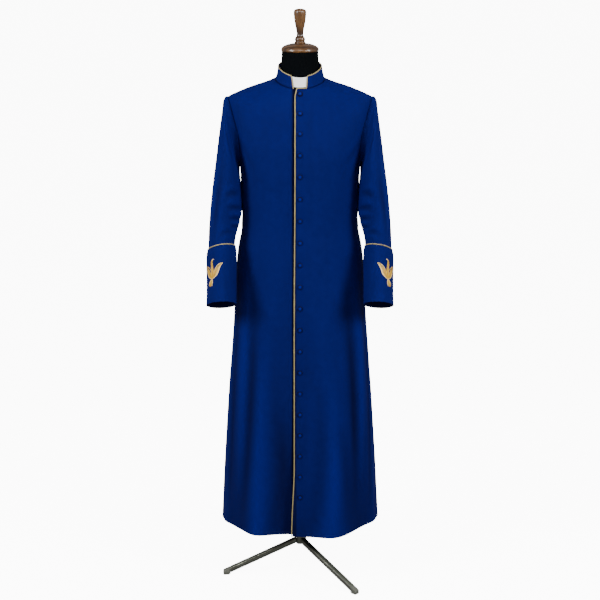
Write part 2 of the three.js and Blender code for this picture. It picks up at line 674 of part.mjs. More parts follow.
// A leg of rectangular tube sloping down to its shoe; both are outlines drawn across the leg's width.
function addLeg(side, turn) {
  const tall = LEG_TALL * Math.hypot(1, LEG_SLOPE);
  const root = HUB_RADIUS + TOUCH_GAP;
  const lowAt = (r) => LEG_ROOT_Z - LEG_SLOPE * (r - root);
  const start = LEG_REACH + TOUCH_GAP;
  const outlines = {
    leg: [
      [root, lowAt(root)],
      [LEG_REACH, lowAt(LEG_REACH)],
      [LEG_REACH, lowAt(LEG_REACH) + tall],
      [root, lowAt(root) + tall],
    ],
    foot: [
      [start, SHOE_CHAMFER],
      [start + SHOE_CHAMFER, 0],
      [FOOT_END - SHOE_CHAMFER, 0],
      [FOOT_END, SHOE_CHAMFER],
      [FOOT_END, lowAt(FOOT_END) + tall - SHOE_CHAMFER],
      [FOOT_END - SHOE_CHAMFER, lowAt(FOOT_END - SHOE_CHAMFER) + tall],
      [start, lowAt(start) + tall],
    ],
  };
  const limb = new THREE.Group();
  limb.rotation.z = degToRad(turn);
  model.add(limb);
  for (const [kind, outline] of Object.entries(outlines)) {
    const shape = new THREE.Shape(outline.map(([x, y]) => new THREE.Vector2(x, y)));
    const geometry = new THREE.ExtrudeGeometry(shape, { depth: LEG_WIDE, bevelEnabled: false });
    const mesh = add(kind + "_" + side, geometry, kind === "leg" ? MATERIALS.steel : MATERIALS.shoe);
    mesh.rotation.x = Math.PI / 2;
    mesh.position.y = LEG_WIDE / 2;
    limb.add(mesh);
  }
}

const upperFront = addBody();
const collar = addCollar();
addTab();
addFrontPiping(collar, upperFront);
addButtons(upperFront);
addSleeves();
addForm();
addCap();
addStand();

// The part stands with its box centred over the origin.
const box = new THREE.Box3().setFromObject(model);
model.position.set(-(box.min.x + box.max.x) / 2, -(box.min.y + box.max.y) / 2, -box.min.z);

export default model;
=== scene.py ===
"""A single-breasted clergy cassock on a limbless dress form: its looks in Blender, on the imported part.

Section tables are in millimetres, as in the part; every mesh is made in metres. The front faces -Y and
the wearer's left is +X. Turns round the body are in degrees: 0 at the front and 90 at the wearer's left.
"""

import math

import bpy
import numpy as np
from bpy.props import FloatProperty, FloatVectorProperty, PointerProperty
from mathutils import Matrix, Vector


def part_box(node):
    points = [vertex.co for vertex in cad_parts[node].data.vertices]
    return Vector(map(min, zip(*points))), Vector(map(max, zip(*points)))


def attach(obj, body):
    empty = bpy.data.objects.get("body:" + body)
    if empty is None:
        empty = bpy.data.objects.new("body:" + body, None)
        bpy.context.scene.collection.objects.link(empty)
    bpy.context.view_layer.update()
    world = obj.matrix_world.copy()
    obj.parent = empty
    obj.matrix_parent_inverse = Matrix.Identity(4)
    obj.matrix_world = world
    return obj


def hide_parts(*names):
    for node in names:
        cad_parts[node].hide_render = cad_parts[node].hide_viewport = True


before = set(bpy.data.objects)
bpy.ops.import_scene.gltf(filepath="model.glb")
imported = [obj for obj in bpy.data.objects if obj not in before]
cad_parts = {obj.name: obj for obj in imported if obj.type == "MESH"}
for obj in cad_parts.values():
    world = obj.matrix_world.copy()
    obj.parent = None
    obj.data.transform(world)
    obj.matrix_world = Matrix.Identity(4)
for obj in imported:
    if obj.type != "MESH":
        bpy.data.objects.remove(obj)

bl_info = {
    "name": "Clergy Cassock on a Dress Form",
    "version": (1, 0, 0),
    "blender": (4, 5, 0),
    "location": "View3D > Sidebar > Cassock",
    "description": "Builds a piped clergy cassock, its dress form and its stand",
    "category": "Object",
}

MM = 0.001

# The pole stands on the wearer's own axis.
CENTRE_Y = (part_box("pole")[0].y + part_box("pole")[1].y) / 2

# ------------------------------------------------------------------ sizes shared with the part

WALL = 2.0
BAND_WALL = 2.4
CUFF_WALL = 2.6
TAB_WALL = 1.0
SEAM_GAP = 0.3
UNDER_SINK = 3.6
OVERLAP = 13.0
UNDERLAP = 16.0
SINK_FROM = -27.5
SINK_TO = -23.5
LAP_TOP = 560.0
LAP_LIFT = 12.0
LAP_DROP = 7.0
GAP_LOW_RIGHT, GAP_LOW_LEFT = -22.2, 21.9
GAP_HIGH_RIGHT, GAP_HIGH_LEFT = -28.4, 24.7
TAB_HALF = 34.0
HEM = 187.0
UNDERARM_ROW = 8
SHOULDER_ROW = 10
ARMHOLE_SPREAD = 27.0
ROLL_REACH = 0.35
SHOULDER_FALL = 54.0
BUTTON_CHEST = [1610, 1552, 1492, 1427]
BUTTON_START = 1361
BUTTON_PITCH = 69.2
BUTTON_ROW = 16

# Rings of the body, from the hem to the neck seam: front, side and back heights; half width, reach
# forward and reach back; squareness; and how the ring drapes.
BODY = np.array([
    [187, 187, 187, 257, 131, 176, 2.4, 2],
    [400, 400, 400, 247, 132, 166, 2.4, 2],
    [640, 640, 640, 233, 131, 152, 2.4, 2],
    [860, 860, 860, 216, 128, 138, 2.35, 2],
    [1010, 1010, 1010, 207, 124, 126, 2.3, 2],
    [1110, 1110, 1110, 198.5, 120, 112, 2.3, 2],
    [1190, 1190, 1190, 184.5, 117, 104, 2.3, 2],
    [1285, 1285, 1285, 186.5, 122, 112, 2.3, 2],
    [1372, 1376, 1374, 189, 127, 122, 2.35, 2],
    [1452, 1486, 1464, 207, 127, 126, 2.3, 2],
    [1530, 1598, 1560, 223, 114, 117, 2.1, 2],
    [1581, 1629, 1620, 151, 96, 96, 2, 1.8],
    [1624, 1650, 1673, 77, 78, 68, 2, 1.3],
], float)
NECK_ROW = len(BODY) - 1

COLLAR = np.array([
    [1624, 1650, 1673, 77, 78, 68, 2, 1.3],
    [1642, 1670, 1692, 71.5, 72.5, 64.5, 2, 1.3],
    [1659, 1689, 1712, 68.5, 68, 62, 2, 1.3],
], float)

# Drapes of the skirt: turn, reach at the hem, spread in degrees, and the height where each dies out.
DRAPES = np.array([
    [-31, 23.5, 10.5, 1020],
    [-62, -19, 19, 780],
    [22, 37, 15.5, 1060],
    [59, -23.5, 22.5, 840],
    [104, 12, 9, 980],
    [132, 25, 10, 1120],
    [158, 23, 8, 1100],
    [180, 32, 8, 1150],
    [203, 21, 8, 1090],
    [229, 27, 10, 1120],
    [257, 10, 9, 960],
], float)
DRAPE_FADE = 1.3

# Rings of the left sleeve: outer x and z, inner x and z, half depth, middle y, and forward lean.
SLEEVE = np.array([
    [233, 1595.5, 191, 1375.5, 66, 1, 0],
    [238.6, 1583, 189.7, 1371, 69, -8, 0],
    [241.3, 1556, 188.9, 1364, 72, -20, 1],
    [247.2, 1512, 187.3, 1353, 73, -31, 2],
    [255, 1455, 185.7, 1334, 73, -39, 4],
    [263.5, 1393, 184.4, 1305, 72, -45, 6],
    [271.9, 1334, 182.8, 1268, 70.5, -49, 9],
    [278.5, 1280, 184.5, 1232, 68.5, -52, 13],
    [283, 1230, 193, 1198, 67, -56, 17],
    [286.5, 1176, 201.5, 1168, 66, -63, 20],
    [288, 1119, 205, 1134, 65.5, -74, 21.5],
    [287, 1068, 205, 1079, 65.5, -91, 22],
    [286.5, 1014, 204.5, 1022, 65.5, -114.5, 22],
    [287.5, 960, 203.5, 965, 66, -138, 22],
], float)
SLEEVE_LAST = len(SLEEVE) - 1
CUFF = np.array([[10, 3.2], [10.14, 5.6], [10.5, 6.8], [11.4, 6], [12.3, 5.4], [13.03, 5]], float)
CUFF_CORD_RISE = 1.5

# The form keeps inside the cassock by these distances: row, at the sides, at front and back.
FORM_INSET = np.array([
    [3.8, 46, 30], [4, 38, 22], [4.6, 34, 20], [5.2, 30, 18], [6, 25, 16], [7, 17, 13],
    [8, 11, 11], [8.6, 9, 10], [9.3, 8, 9], [9.8, 7, 8], [10.1, 6.5, 7.5], [10.6, 6, 7],
    [11.1, 6, 7], [11.6, 6, 7.5], [11.95, 7, 9],
], float)
FORM_NECK = np.array([
    [1642, 1667, 1688, 63, 62, 57, 2, 1],
    [1668, 1686, 1704, 59, 58, 56, 2, 1],
    [1699, 1709, 1719, 57.8, 56.5, 56.5, 2, 1],
    [1731.2, 1734.2, 1737.2, 56.8, 56, 56.5, 2, 1],
], float)
CAP_TILT = 3.0
CAP_Z = 1735.0
CAP_RADIUS = 58.5
FINIAL_BASE = 25.0

PLATE_TOP = 980.0
PLATE_THICK = 12.0
PLATE_HALF = 146.0
PLATE_DEPTH = 84.0
POLE_RADIUS = 11.0
HUB_RADIUS = 13.0
HUB_LOW = 101.0
HUB_HIGH = 142.0
LEG_TURNS = {"right": 186, "left": 316, "back": 87}
LEG_WIDE = 19.0
LEG_TALL = 16.0
LEG_ROOT_Z = 106.0
LEG_REACH = 236.0
FOOT_END = 261.0
LEG_SLOPE = 0.44
TOUCH_GAP = 0.3

# ------------------------------------------------------------------ creases

# Body: turn and height of both ends, depth and half width in millimetres; a negative depth is a ridge.
BODY_CREASES = np.array([
    [66, 1500, 42, 1392, 1.7, 12],
    [-67, 1488, -46, 1380, 1.5, 11],
    [72, 1420, 50, 1335, 1.2, 10],
    [-74, 1410, -55, 1318, 1.3, 11],
    [84, 1352, 58, 1262, 1.8, 11],
    [-86, 1356, -62, 1272, 1.5, 10],
    [98, 1236, 60, 1206, 1.6, 12],
    [-100, 1228, -66, 1212, 1.7, 12],
    [92, 1180, 66, 1160, 1.3, 11],
    [-94, 1172, -60, 1150, 1.2, 12],
    [54, 1120, 50, 360, -4.0, 20],
    [-55, 1080, -50, 300, -4.2, 20],
    [43, 940, 42, 220, 3.6, 15],
    [-42, 900, -43, 240, 3.2, 15],
    [70, 960, 70, 230, 3.8, 18],
    [-69, 1000, -70, 260, 3.6, 18],
    [16, 700, 11, 205, 3.2, 18],
    [30, 560, 33, 200, 2.6, 16],
    [-17, 620, -16, 205, 2.4, 18],
    [112, 1500, 138, 1404, 2.0, 13],
    [248, 1496, 222, 1392, 1.8, 13],
    [106, 1425, 130, 1318, 1.5, 12],
    [253, 1430, 231, 1330, 1.6, 12],
    [150, 1545, 166, 1450, 1.2, 14],
    [212, 1540, 195, 1460, 1.1, 14],
    [112, 1240, 150, 1196, 2.0, 13],
    [246, 1246, 208, 1202, 2.1, 13],
    [118, 1188, 156, 1160, 1.6, 12],
    [240, 1182, 200, 1150, 1.5, 12],
    [118, 1080, 119, 330, 3.0, 14],
    [145, 1110, 145, 420, 3.4, 12],
    [169, 1060, 170, 260, 2.8, 11],
    [191, 1120, 191, 380, 3.2, 11],
    [216, 1050, 216, 300, 3.4, 12],
    [243, 1010, 243, 360, 2.8, 14],
], float)
BODY_MM_PER_DEGREE = 3.5

# Left sleeve: phase and row of both ends, depth and half width; phase is 0 outside and 90 in front.
SLEEVE_CREASES = np.array([
    [30, 0.9, 120, 3.1, 1.5, 13],
    [118, 0.5, 165, 2.9, 1.9, 11],
    [205, 0.7, 250, 3.0, 1.8, 12],
    [300, 0.8, 230, 3.4, 1.4, 13],
    [150, 5.2, 88, 6.4, 2.2, 11],
    [170, 6.4, 100, 7.2, 2.6, 11],
    [196, 7.3, 112, 7.9, 2.6, 10],
    [190, 8.2, 122, 8.6, 2.0, 10],
    [150, 8.9, 75, 9.5, 1.5, 11],
    [46, 4.0, 38, 8.8, -1.6, 15],
    [66, 5.2, 60, 9.3, 1.5, 12],
    [330, 3.2, 322, 8.6, 1.6, 16],
    [262, 5.2, 250, 9.0, 1.8, 14],
    [214, 5.6, 268, 6.9, 1.6, 11],
    [208, 7.0, 272, 7.7, 1.8, 10],
], float)
SLEEVE_MM_PER_DEGREE = 1.2
SLEEVE_MM_PER_ROW = 56.0

CUFF_CREASES = np.array([
    [20, 10.6, 26, 12.4, 0.8, 9],
    [112, 10.9, 128, 12.7, 1.0, 9],
    [172, 10.4, 150, 12.0, 1.2, 9],
    [238, 10.7, 224, 12.8, 1.1, 10],
    [318, 10.5, 326, 12.2, 0.9, 11],
], float)

# ------------------------------------------------------------------ surfaces


def table_rows(table, row):
    """Every column of a section table at fractional rows, on a smooth curve through its rows."""
    row = np.asarray(row, float)
    last = len(table) - 1
    index = np.clip(np.floor(row).astype(int), 0, last - 1)
    t = (row - index)[..., None]
    a, b, c, d = (table[np.clip(index + k, 0, last)] for k in (-1, 0, 1, 2))
    return b + 0.5 * t * (c - a + t * (2 * a - 5 * b + 4 * c - d + t * (3 * (b - c) + d - a)))


def smooth_step(x, low, high):
    t = np.clip((x - low) / (high - low), 0, 1)
    return t * t * (3 - 2 * t)


def ring_points(table, row, turn):
    """Points of a table's rings, in millimetres."""
    columns = np.moveaxis(table_rows(table, row), -1, 0)
    front, side, back, half, fore, aft, square, bend = columns
    s, c = np.sin(np.radians(turn)), np.cos(np.radians(turn))
    swell = (np.abs(s) ** square + np.abs(c) ** square) ** (-1 / square)
    reach = np.where(c > 0, fore, aft)
    end = np.where(c > 0, front, back)
    z = side + (end - side) * np.abs(c) ** bend
    if table is BODY:
        t = np.clip(row - SHOULDER_ROW, 0, 1)
        z = z - SHOULDER_FALL * t * (1 - t) ** 2 * np.abs(s) ** 6
    return np.stack([half * swell * s, -reach * swell * c, z], -1)


def drape_reach(turn, z):
    """How far the skirt's drapes push the cloth out."""
    reach = np.zeros(np.broadcast(turn, z).shape)
    for at, most, spread, top in DRAPES:
        off = ((turn - at + 180) % 360 - 180) / spread
        reach += most * np.clip((top - z) / (top - HEM), 0, 1) ** DRAPE_FADE * np.exp(-off * off)
    return reach


def lap_step(layer, x, z):
    """How far the two fronts step apart where they lap."""
    low = 1 - smooth_step(z, HEM, LAP_TOP)
    if layer == "upper":
        return LAP_LIFT * low * smooth_step(-x, -70, OVERLAP)
    if layer == "under":
        sink = UNDER_SINK * smooth_step(x, SINK_FROM, SINK_TO)
        return -sink - LAP_DROP * low * smooth_step(x, -110, -30)
    return 0 * x


def crease_relief(creases, across, along, wrap=None):
    """Soft troughs with a low shoulder on each side, fading at both ends of each crease."""
    relief = np.zeros(np.broadcast(across, along).shape)
    for x0, z0, x1, z1, depth, width in creases:
        dx, dz = x1 - x0, z1 - z0
        x = across - x0
        if wrap:
            x = (x + wrap / 2) % wrap - wrap / 2
        t = (x * dx + (along - z0) * dz) / (dx * dx + dz * dz)
        off = (x * dz - (along - z0) * dx) / math.hypot(dx, dz) / width
        inside = np.clip(t, 0, 1)
        ends = np.clip(np.sin(np.pi * inside), 0, 1) ** 0.7
        bow = off + 0.6 * np.sin(np.pi * inside)
        trough = np.exp(-bow**2) - 0.42 * np.exp(-((np.abs(bow) - 1.9) ** 2))
        relief -= depth * ends * trough
    return relief


def undulation(across, along):
    """The slight unevenness of hanging cloth, in millimetres."""
    slow = np.sin(across / 61 + 1.3) * np.sin(along / 113 + 0.4)
    middle = np.sin(across / 27 + along / 190) * np.sin(along / 71 - 0.8)
    return 0.45 * slow + 0.22 * middle + 0.12 * np.sin(across / 13 - along / 57)


def button_heights():
    return BUTTON_CHEST + [BUTTON_START - i * BUTTON_PITCH for i in range(BUTTON_ROW)]


def button_pull(x, z):
    """The upper front dips a little under each button and pulls into short creases beside it."""
    dip = np.zeros(x.shape)
    for height in button_heights():
        dz = z - height
        dip -= 1.3 * np.exp(-((x * x + dz * dz) / 130) ** 2)
        dip -= 0.5 * np.exp(-(x * x) / 700) * np.exp(-((dz + 0.12 * np.abs(x)) ** 2) / 16)
    return dip


def body_face(layer):
    """The cassock's outer face: a function from rows and turns to points."""

    def face(row, turn):
        point = ring_points(BODY, row, turn)
        rolled = smooth_step(np.abs(np.cos(np.radians(turn))), 0.05, 0.4)
        rolled = rolled * smooth_step(row, 8.9, 9.7) * (1 - smooth_step(row, 10.9, 11.6))
        beside = (ring_points(BODY, row - ROLL_REACH, turn) + ring_points(BODY, row + ROLL_REACH, turn)) / 2
        point += 0.6 * rolled[..., None] * (beside - point)
        sections = table_rows(BODY, row)
        reach = np.where(np.cos(np.radians(turn)) > 0, sections[..., 4], sections[..., 5])
        out = np.stack([
            point[..., 0] / sections[..., 3] ** 2,
            point[..., 1] / reach**2,
            np.zeros(point.shape[:-1]),
        ], -1)
        out /= np.linalg.norm(out, axis=-1, keepdims=True)
        x, z = point[..., 0].copy(), point[..., 2].copy()
        step = lap_step(layer, x, z)
        across = turn * BODY_MM_PER_DEGREE
        creases = BODY_CREASES * [BODY_MM_PER_DEGREE, 1, BODY_MM_PER_DEGREE, 1, 1, 1]
        relief = crease_relief(creases, across, z, 360 * BODY_MM_PER_DEGREE)
        relief += undulation(point[..., 0] + point[..., 1], z)
        if layer == "upper":
            relief += button_pull(x, z)
        relief *= smooth_step(np.asarray(NECK_ROW - row, float), 0, 1)
        point += out * (drape_reach(turn, z) + step + relief)[..., None]
        if layer == "under":
            point[..., 2] += 0.3 * np.maximum(step, -UNDER_SINK)
        return point

    return face


def body_shades(layer, row, turn):
    """Painted shade in the body's troughs and tucks, beside the front cord and under the lapped front, and painted
    highlight on its ridges and drapes.
    """
    point = ring_points(BODY, row, turn)
    x, z = point[..., 0], point[..., 2]
    creases = BODY_CREASES * [BODY_MM_PER_DEGREE, 1, BODY_MM_PER_DEGREE, 1, 1, 1]
    relief = crease_relief(creases, turn * BODY_MM_PER_DEGREE, z, 360 * BODY_MM_PER_DEGREE)
    drape = drape_reach(turn, z) - drape_reach(turn - 9, z) / 2 - drape_reach(turn + 9, z) / 2
    relief = relief + 0.45 * drape
    # Painted shade in troughs and painted highlight on ridges, from the creases and drapes.
    dark, light = np.clip(-relief, 0, None) / 9, np.clip(relief, 0, None) / 9
    # Painted shadow on the under front beside the cord, and under the upper front where it laps.
    if layer == "under":
        dark = dark + 0.9 * smooth_step(x, -27, -22)
        dark = dark + 0.35 * smooth_step(x, -75, -20) * (1 - smooth_step(z, 300, 760))
    # Painted shade along the upper front's edge, beside the cord.
    if layer == "upper":
        dark = dark + 0.5 * (1 - smooth_step(x, -12.5, -10))
    return dark, light


def turn_at(table, row, x):
    """The turn at which a ring has a small x near its front."""
    return np.degrees(np.arcsin(x / table_rows(table, row)[..., 3]))


def armhole_turn(row):
    """How many degrees of a row the armhole takes on each side of the side seam."""
    t = np.clip((row - UNDERARM_ROW) / (SHOULDER_ROW - UNDERARM_ROW), 0, 1)
    return ARMHOLE_SPREAD * 2 * np.sqrt(t * (1 - t))


def edge_turn(row):
    """The upper front's edge beside the buttons."""
    z = ring_points(BODY, row, np.zeros(np.shape(row)))[..., 2]
    x = 4.5 * smooth_step(z, 1600, 1626) - 3.2 * (1 - smooth_step(z, 800, 1450))
    return turn_at(BODY, row, x - 8 * (1 - smooth_step(z, HEM, 430)) - OVERLAP)


def face_with_normals(face, row, turn):
    """A surface's points and unit normals at a grid of rows and turns."""
    along = face(row, turn + 0.25) - face(row, turn - 0.25)
    up = face(row + 0.004, turn) - face(row - 0.004, turn)
    normal = np.cross(along, up)
    return face(row, turn), normal / np.linalg.norm(normal, axis=-1, keepdims=True)


def eased(count, ease=0.8):
    """Numbers from 0 to 1, closer together towards both ends."""
    t = np.linspace(0, 1, count)
    return t - ease * np.sin(2 * np.pi * t) / (2 * np.pi)


# ------------------------------------------------------------------ meshes


def unit(vectors):
    length = np.linalg.norm(vectors, axis=-1, keepdims=True)
    return vectors / np.maximum(length, 1e-9)


def steps_along(points, axis):
    """Distances along one axis of a grid, from its first line."""
    gaps = np.linalg.norm(np.diff(points, axis=axis), axis=-1)
    return np.concatenate([np.zeros_like(gaps.take([0], axis)), np.cumsum(gaps, axis)], axis)


def arc_uv(points, wrap):
    """Real-size flat coordinates of a grid, in metres."""
    if wrap:
        points = np.concatenate([points, points[:, :1]], 1)
    across = steps_along(points, 1)
    across -= across[:, [across.shape[1] // 2]]
    return np.stack([across, steps_along(points, 0)], -1) * MM


def seam_dip(points, normal, sides, depth=0.3, width=1.6):
    """Presses a grid in along its seamed sides, as a pressed seam does."""
    dip = np.zeros(points.shape[:2])
    across, up = steps_along(points, 1), steps_along(points, 0)
    distances = {
        "first": across,
        "last": across[:, -1:] - across,
        "top": up[-1:] - up,
        "bottom": up,
    }
    for side in sides:
        dip += depth * np.exp(-((distances[side] / width) ** 2))
    return points - normal * dip[..., None]


def outward_edges(points, wrap):
    """For each border point of a grid, the direction out of the cloth in its own surface."""
    edge = np.zeros(points.shape)
    edge[0] += unit(points[0] - points[1])
    edge[-1] += unit(points[-1] - points[-2])
    if not wrap:
        edge[:, 0] += unit(points[:, 0] - points[:, 1])
        edge[:, -1] += unit(points[:, -1] - points[:, -2])
    return edge


def free_edges(rows, columns, wrap):
    """Closed loops of grid places along the free edges, counter-clockwise seen from outside."""
    i, j = np.arange(rows), np.arange(columns + 1 if wrap else columns)
    first, last = np.zeros(len(j), int), np.full(len(j), rows - 1)
    if wrap:
        return [(first, j), (last, j[::-1])]
    ones = np.ones(rows, int)
    loop_i = np.concatenate([first[:-1], i[:-1], last[:-1], i[::-1]])
    loop_j = np.concatenate([j[:-1], ones[:-1] * (columns - 1), j[:0:-1], ones * 0])
    return [(loop_i, loop_j)]


def cloth_wall(outer, normal, thick, wrap=False):
    """Vertices, faces and face-corner coordinates of a closed wall of cloth with rounded rims."""
    rows, columns = outer.shape[:2]
    inset = outward_edges(outer, wrap) * 0.16 * thick
    layers = [
        outer - inset,
        outer - 0.28 * thick * normal,
        outer - 0.72 * thick * normal,
        outer - thick * normal - inset,
    ]
    spans = columns if wrap else columns - 1
    i, j = (a.ravel() for a in np.meshgrid(np.arange(rows - 1), np.arange(spans), indexing="ij"))
    corners = []

    def face(*places):
        corners.append(np.stack([np.stack(np.broadcast_arrays(*p), -1) for p in places], 1))

    face((0, i, j), (0, i, j + 1), (0, i + 1, j + 1), (0, i + 1, j))
    face((3, i + 1, j), (3, i + 1, j + 1), (3, i, j + 1), (3, i, j))
    for loop_i, loop_j in free_edges(rows, columns, wrap):
        a, b = (loop_i[:-1], loop_j[:-1]), (loop_i[1:], loop_j[1:])
        for k in range(3):
            face((k, *b), (k, *a), (k + 1, *a), (k + 1, *b))
    corners = np.concatenate(corners)
    layer, row, column = np.moveaxis(corners, -1, 0)
    faces = (layer * rows + row) * columns + column % columns
    used, faces = np.unique(faces, return_inverse=True)
    vertices = np.stack(layers).reshape(-1, 3)[used]
    return vertices, faces.reshape(-1, 4), arc_uv(outer, wrap)[row, column]


def wall_shades(values, wrap=False):
    """A grid's values at the vertices of its cloth wall."""
    rim = np.zeros(values.shape, bool)
    rim[[0, -1]] = True
    if not wrap:
        rim[:, [0, -1]] = True
    return np.concatenate([values.ravel(), values[rim], values[rim], values.ravel()])


def set_shades(piece, dark, light):
    """Stores how much painted shade and painted highlight each place of a piece has: how much darker and lighter than
    its cloth.
    """
    layer = piece.data.color_attributes.new("shade", "FLOAT_COLOR", "POINT")
    colours = np.zeros((len(dark), 4), np.float32)
    colours[:, 0], colours[:, 1] = np.clip(dark, 0, 1), np.clip(light, 0, 1)
    layer.data.foreach_set("color", colours.ravel())


def skin_rings(rings, closed=False, uv=None):
    """A solid skinned over closed rings; open ends are closed by fans. Also its face-corner coordinates."""
    count, columns = rings.shape[:2]
    spans = count if closed else count - 1
    i, j = (a.ravel() for a in np.meshgrid(np.arange(spans), np.arange(columns), indexing="ij"))
    corner_i = np.stack([i, i, i + 1, i + 1], 1)
    corner_j = np.stack([j, j + 1, j + 1, j], 1)
    faces = ((corner_i % count) * columns + corner_j % columns).tolist()
    grid = np.concatenate([rings, rings[:1]]) if closed else rings
    flat = arc_uv(grid, True)[corner_i, corner_j].reshape(-1, 2)
    vertices = rings.reshape(-1, 3)
    if not closed:
        centres = np.stack([rings[0].mean(0), rings[-1].mean(0)])
        vertices = np.concatenate([vertices, centres])
        base, tip = count * columns, (count - 1) * columns
        for k in range(columns):
            ahead = (k + 1) % columns
            faces.append([ahead, k, base])
            faces.append([tip + k, tip + ahead, base + 1])
        flat = np.concatenate([flat, np.zeros((6 * columns, 2))])
    return vertices, faces, flat


def new_piece(name, shape, material, replaced=(), sharp=None):
    """An object made of vertices in millimetres, faces and face-corner coordinates, riding on the part."""
    vertices, faces, flat = shape
    mesh = bpy.data.meshes.new(name)
    placed = np.asarray(vertices, float) * MM + [0, CENTRE_Y, 0]
    faces = faces.tolist() if isinstance(faces, np.ndarray) else faces
    mesh.from_pydata(placed.tolist(), [], faces)
    layer = mesh.uv_layers.new(name="real_size")
    layer.data.foreach_set("uv", np.asarray(flat, np.float32).ravel())
    mesh.shade_smooth()
    if sharp:
        mesh.set_sharp_from_angle(angle=math.radians(sharp))
    mesh.materials.append(material)
    piece = bpy.data.objects.new(name, mesh)
    bpy.context.scene.collection.objects.link(piece)
    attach(piece, "root")
    if replaced:
        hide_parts(*replaced)
    return piece


def joined(shapes):
    """Several shapes as one."""
    vertices, faces, flats, base = [], [], [], 0
    for points, quads, flat in shapes:
        vertices.append(points)
        faces.extend([[base + k for k in quad] for quad in np.asarray(quads, object).tolist()])
        flats.append(np.asarray(flat).reshape(-1, 2))
        base += len(points)
    return np.concatenate(vertices), faces, np.concatenate(flats)


def mirrored(shape):
    """The same shape on the wearer's right side."""
    vertices, faces, flat = shape
    sizes = [len(face) for face in faces]
    starts = np.concatenate([[0], np.cumsum(sizes)[:-1]])
    flat = np.asarray(flat).reshape(-1, 2)
    order = np.concatenate([np.arange(s + n - 1, s - 1, -1) for s, n in zip(starts, sizes)])
    return vertices * [-1, 1, 1], [list(face)[::-1] for face in faces], flat[order]


def round_cord(path, radius, sides=12, closed=False):
    """A round cord along a path of points."""
    path = np.asarray(path, float)
    ahead = np.roll(path, -1, 0) - np.roll(path, 1, 0)
    if not closed:
        ahead[0], ahead[-1] = path[1] - path[0], path[-1] - path[-2]
    ahead = unit(ahead)
    side = np.array([0.0, 1.0, 0.0]) if abs(ahead[0, 2]) > 0.9 else np.array([0.0, 0.0, 1.0])
    angles = 2 * np.pi * np.arange(sides) / sides
    rings = []
    for point, along in zip(path, ahead):
        side = side - along * side.dot(along)
        side /= np.linalg.norm(side)
        other = np.cross(along, side)
        ring = np.cos(angles)[:, None] * side + np.sin(angles)[:, None] * other
        rings.append(point + radius * ring)
    return skin_rings(np.stack(rings), closed)


def even_path(path, step, closed=False):
    """A smooth curve through points, with its own points a step apart."""
    path = np.asarray(path, float)
    if closed:
        path = np.concatenate([path, path[:1]])
    rows = np.linspace(0, len(path) - 1, (len(path) - 1) * 8 + 1)
    if closed:
        fine = table_rows(np.concatenate([path[-2:-1], path, path[1:2]]), rows + 1)
    else:
        fine = table_rows(path, rows)
    distance = steps_along(fine[:, None], 0)[:, 0]
    count = max(int(distance[-1] / step), 8)
    wanted = np.linspace(0, distance[-1], count + 1)
    even = np.stack([np.interp(wanted, distance, fine[:, k]) for k in range(3)], 1)
    return even[:-1] if closed else even


def soft_corners(path, reach, sharpest=140):
    """Rounds the sharp corners of a path."""
    soft = [path[0]]
    for k in range(1, len(path) - 1):
        back, ahead = unit(path[k - 1] - path[k]), unit(path[k + 1] - path[k])
        if math.degrees(math.acos(np.clip(back.dot(ahead), -1, 1))) > sharpest:
            soft.append(path[k])
            continue
        start, end = path[k] + back * reach, path[k] + ahead * reach
        for t in (0, 0.2, 0.4, 0.6, 0.8, 1):
            soft.append((1 - t) ** 2 * start + 2 * t * (1 - t) * path[k] + t * t * end)
    soft.append(path[-1])
    return np.array(soft)


def turned(profile, matrix, segments=96):
    """A turned solid: heights and radii along its own Z, placed by a matrix in millimetres."""
    profile = np.asarray(profile, float)
    angles = 2 * np.pi * np.arange(segments) / segments
    rings = np.stack([
        np.stack([r * np.cos(angles), r * np.sin(angles), np.full(segments, h)], -1)
        for r, h in profile
    ])
    rotation, move = np.array(matrix.to_3x3()), np.array(matrix.translation)
    return skin_rings(rings @ rotation.T + move)


def rounded_profile(profile, steps=8):
    """A profile of radii and heights made smooth through its points."""
    profile = np.asarray(profile, float)
    rows = np.linspace(0, len(profile) - 1, (len(profile) - 1) * steps + 1)
    fine = table_rows(profile, rows)
    fine[:, 0] = np.maximum(fine[:, 0], 0.05)
    return fine


# ------------------------------------------------------------------ finishes


def add_node(tree, kind, inputs=None, **settings):
    """Adds a node; inputs maps socket names or numbers to values or to other nodes' outputs."""
    made = tree.nodes.new(kind)
    for key, value in settings.items():
        setattr(made, key, value)
    for key, value in (inputs or {}).items():
        if isinstance(value, bpy.types.NodeSocket):
            tree.links.new(value, made.inputs[key])
        else:
            made.inputs[key].default_value = value
    return made


def new_finish(name, **values):
    """A material with its shader's uniform values set; returns it with its tree and shader."""
    material = bpy.data.materials.new(name)
    material.use_nodes = True
    shader = material.node_tree.nodes["Principled BSDF"]
    for key, value in values.items():
        shader.inputs[key.replace("_", " ")].default_value = value
    return material, material.node_tree, shader


def blend_colours(tree, amount, low, high):
    """A colour between two, by an amount from 0 to 1."""
    mix = add_node(tree, "ShaderNodeMix", data_type="RGBA")
    tree.links.new(amount, mix.inputs["Factor"])
    for socket, colour in ((mix.inputs["A"], low), (mix.inputs["B"], high)):
        if isinstance(colour, bpy.types.NodeSocket):
            tree.links.new(colour, socket)
        else:
            socket.default_value = (*colour[:3], 1)
    return mix.outputs["Result"]


def ranged(tree, value, low, high, to_low, to_high):
    """A value moved from one range to another."""
    inputs = {"Value": value, "From Min": low, "From Max": high, "To Min": to_low, "To Max": to_high}
    return add_node(tree, "ShaderNodeMapRange", inputs).outputs["Result"]


def calculate(tree, operation, a, b=0.0):
    return add_node(tree, "ShaderNodeMath", {0: a, 1: b}, operation=operation).outputs[0]


def noise_at(tree, place, scale, detail=3.0, roughness=0.5, distortion=0.0):
    inputs = {"Scale": scale, "Detail": detail, "Roughness": roughness, "Distortion": distortion}
    noise = add_node(tree, "ShaderNodeTexNoise", inputs)
    tree.links.new(place, noise.inputs["Vector"])
    return noise.outputs["Fac"]


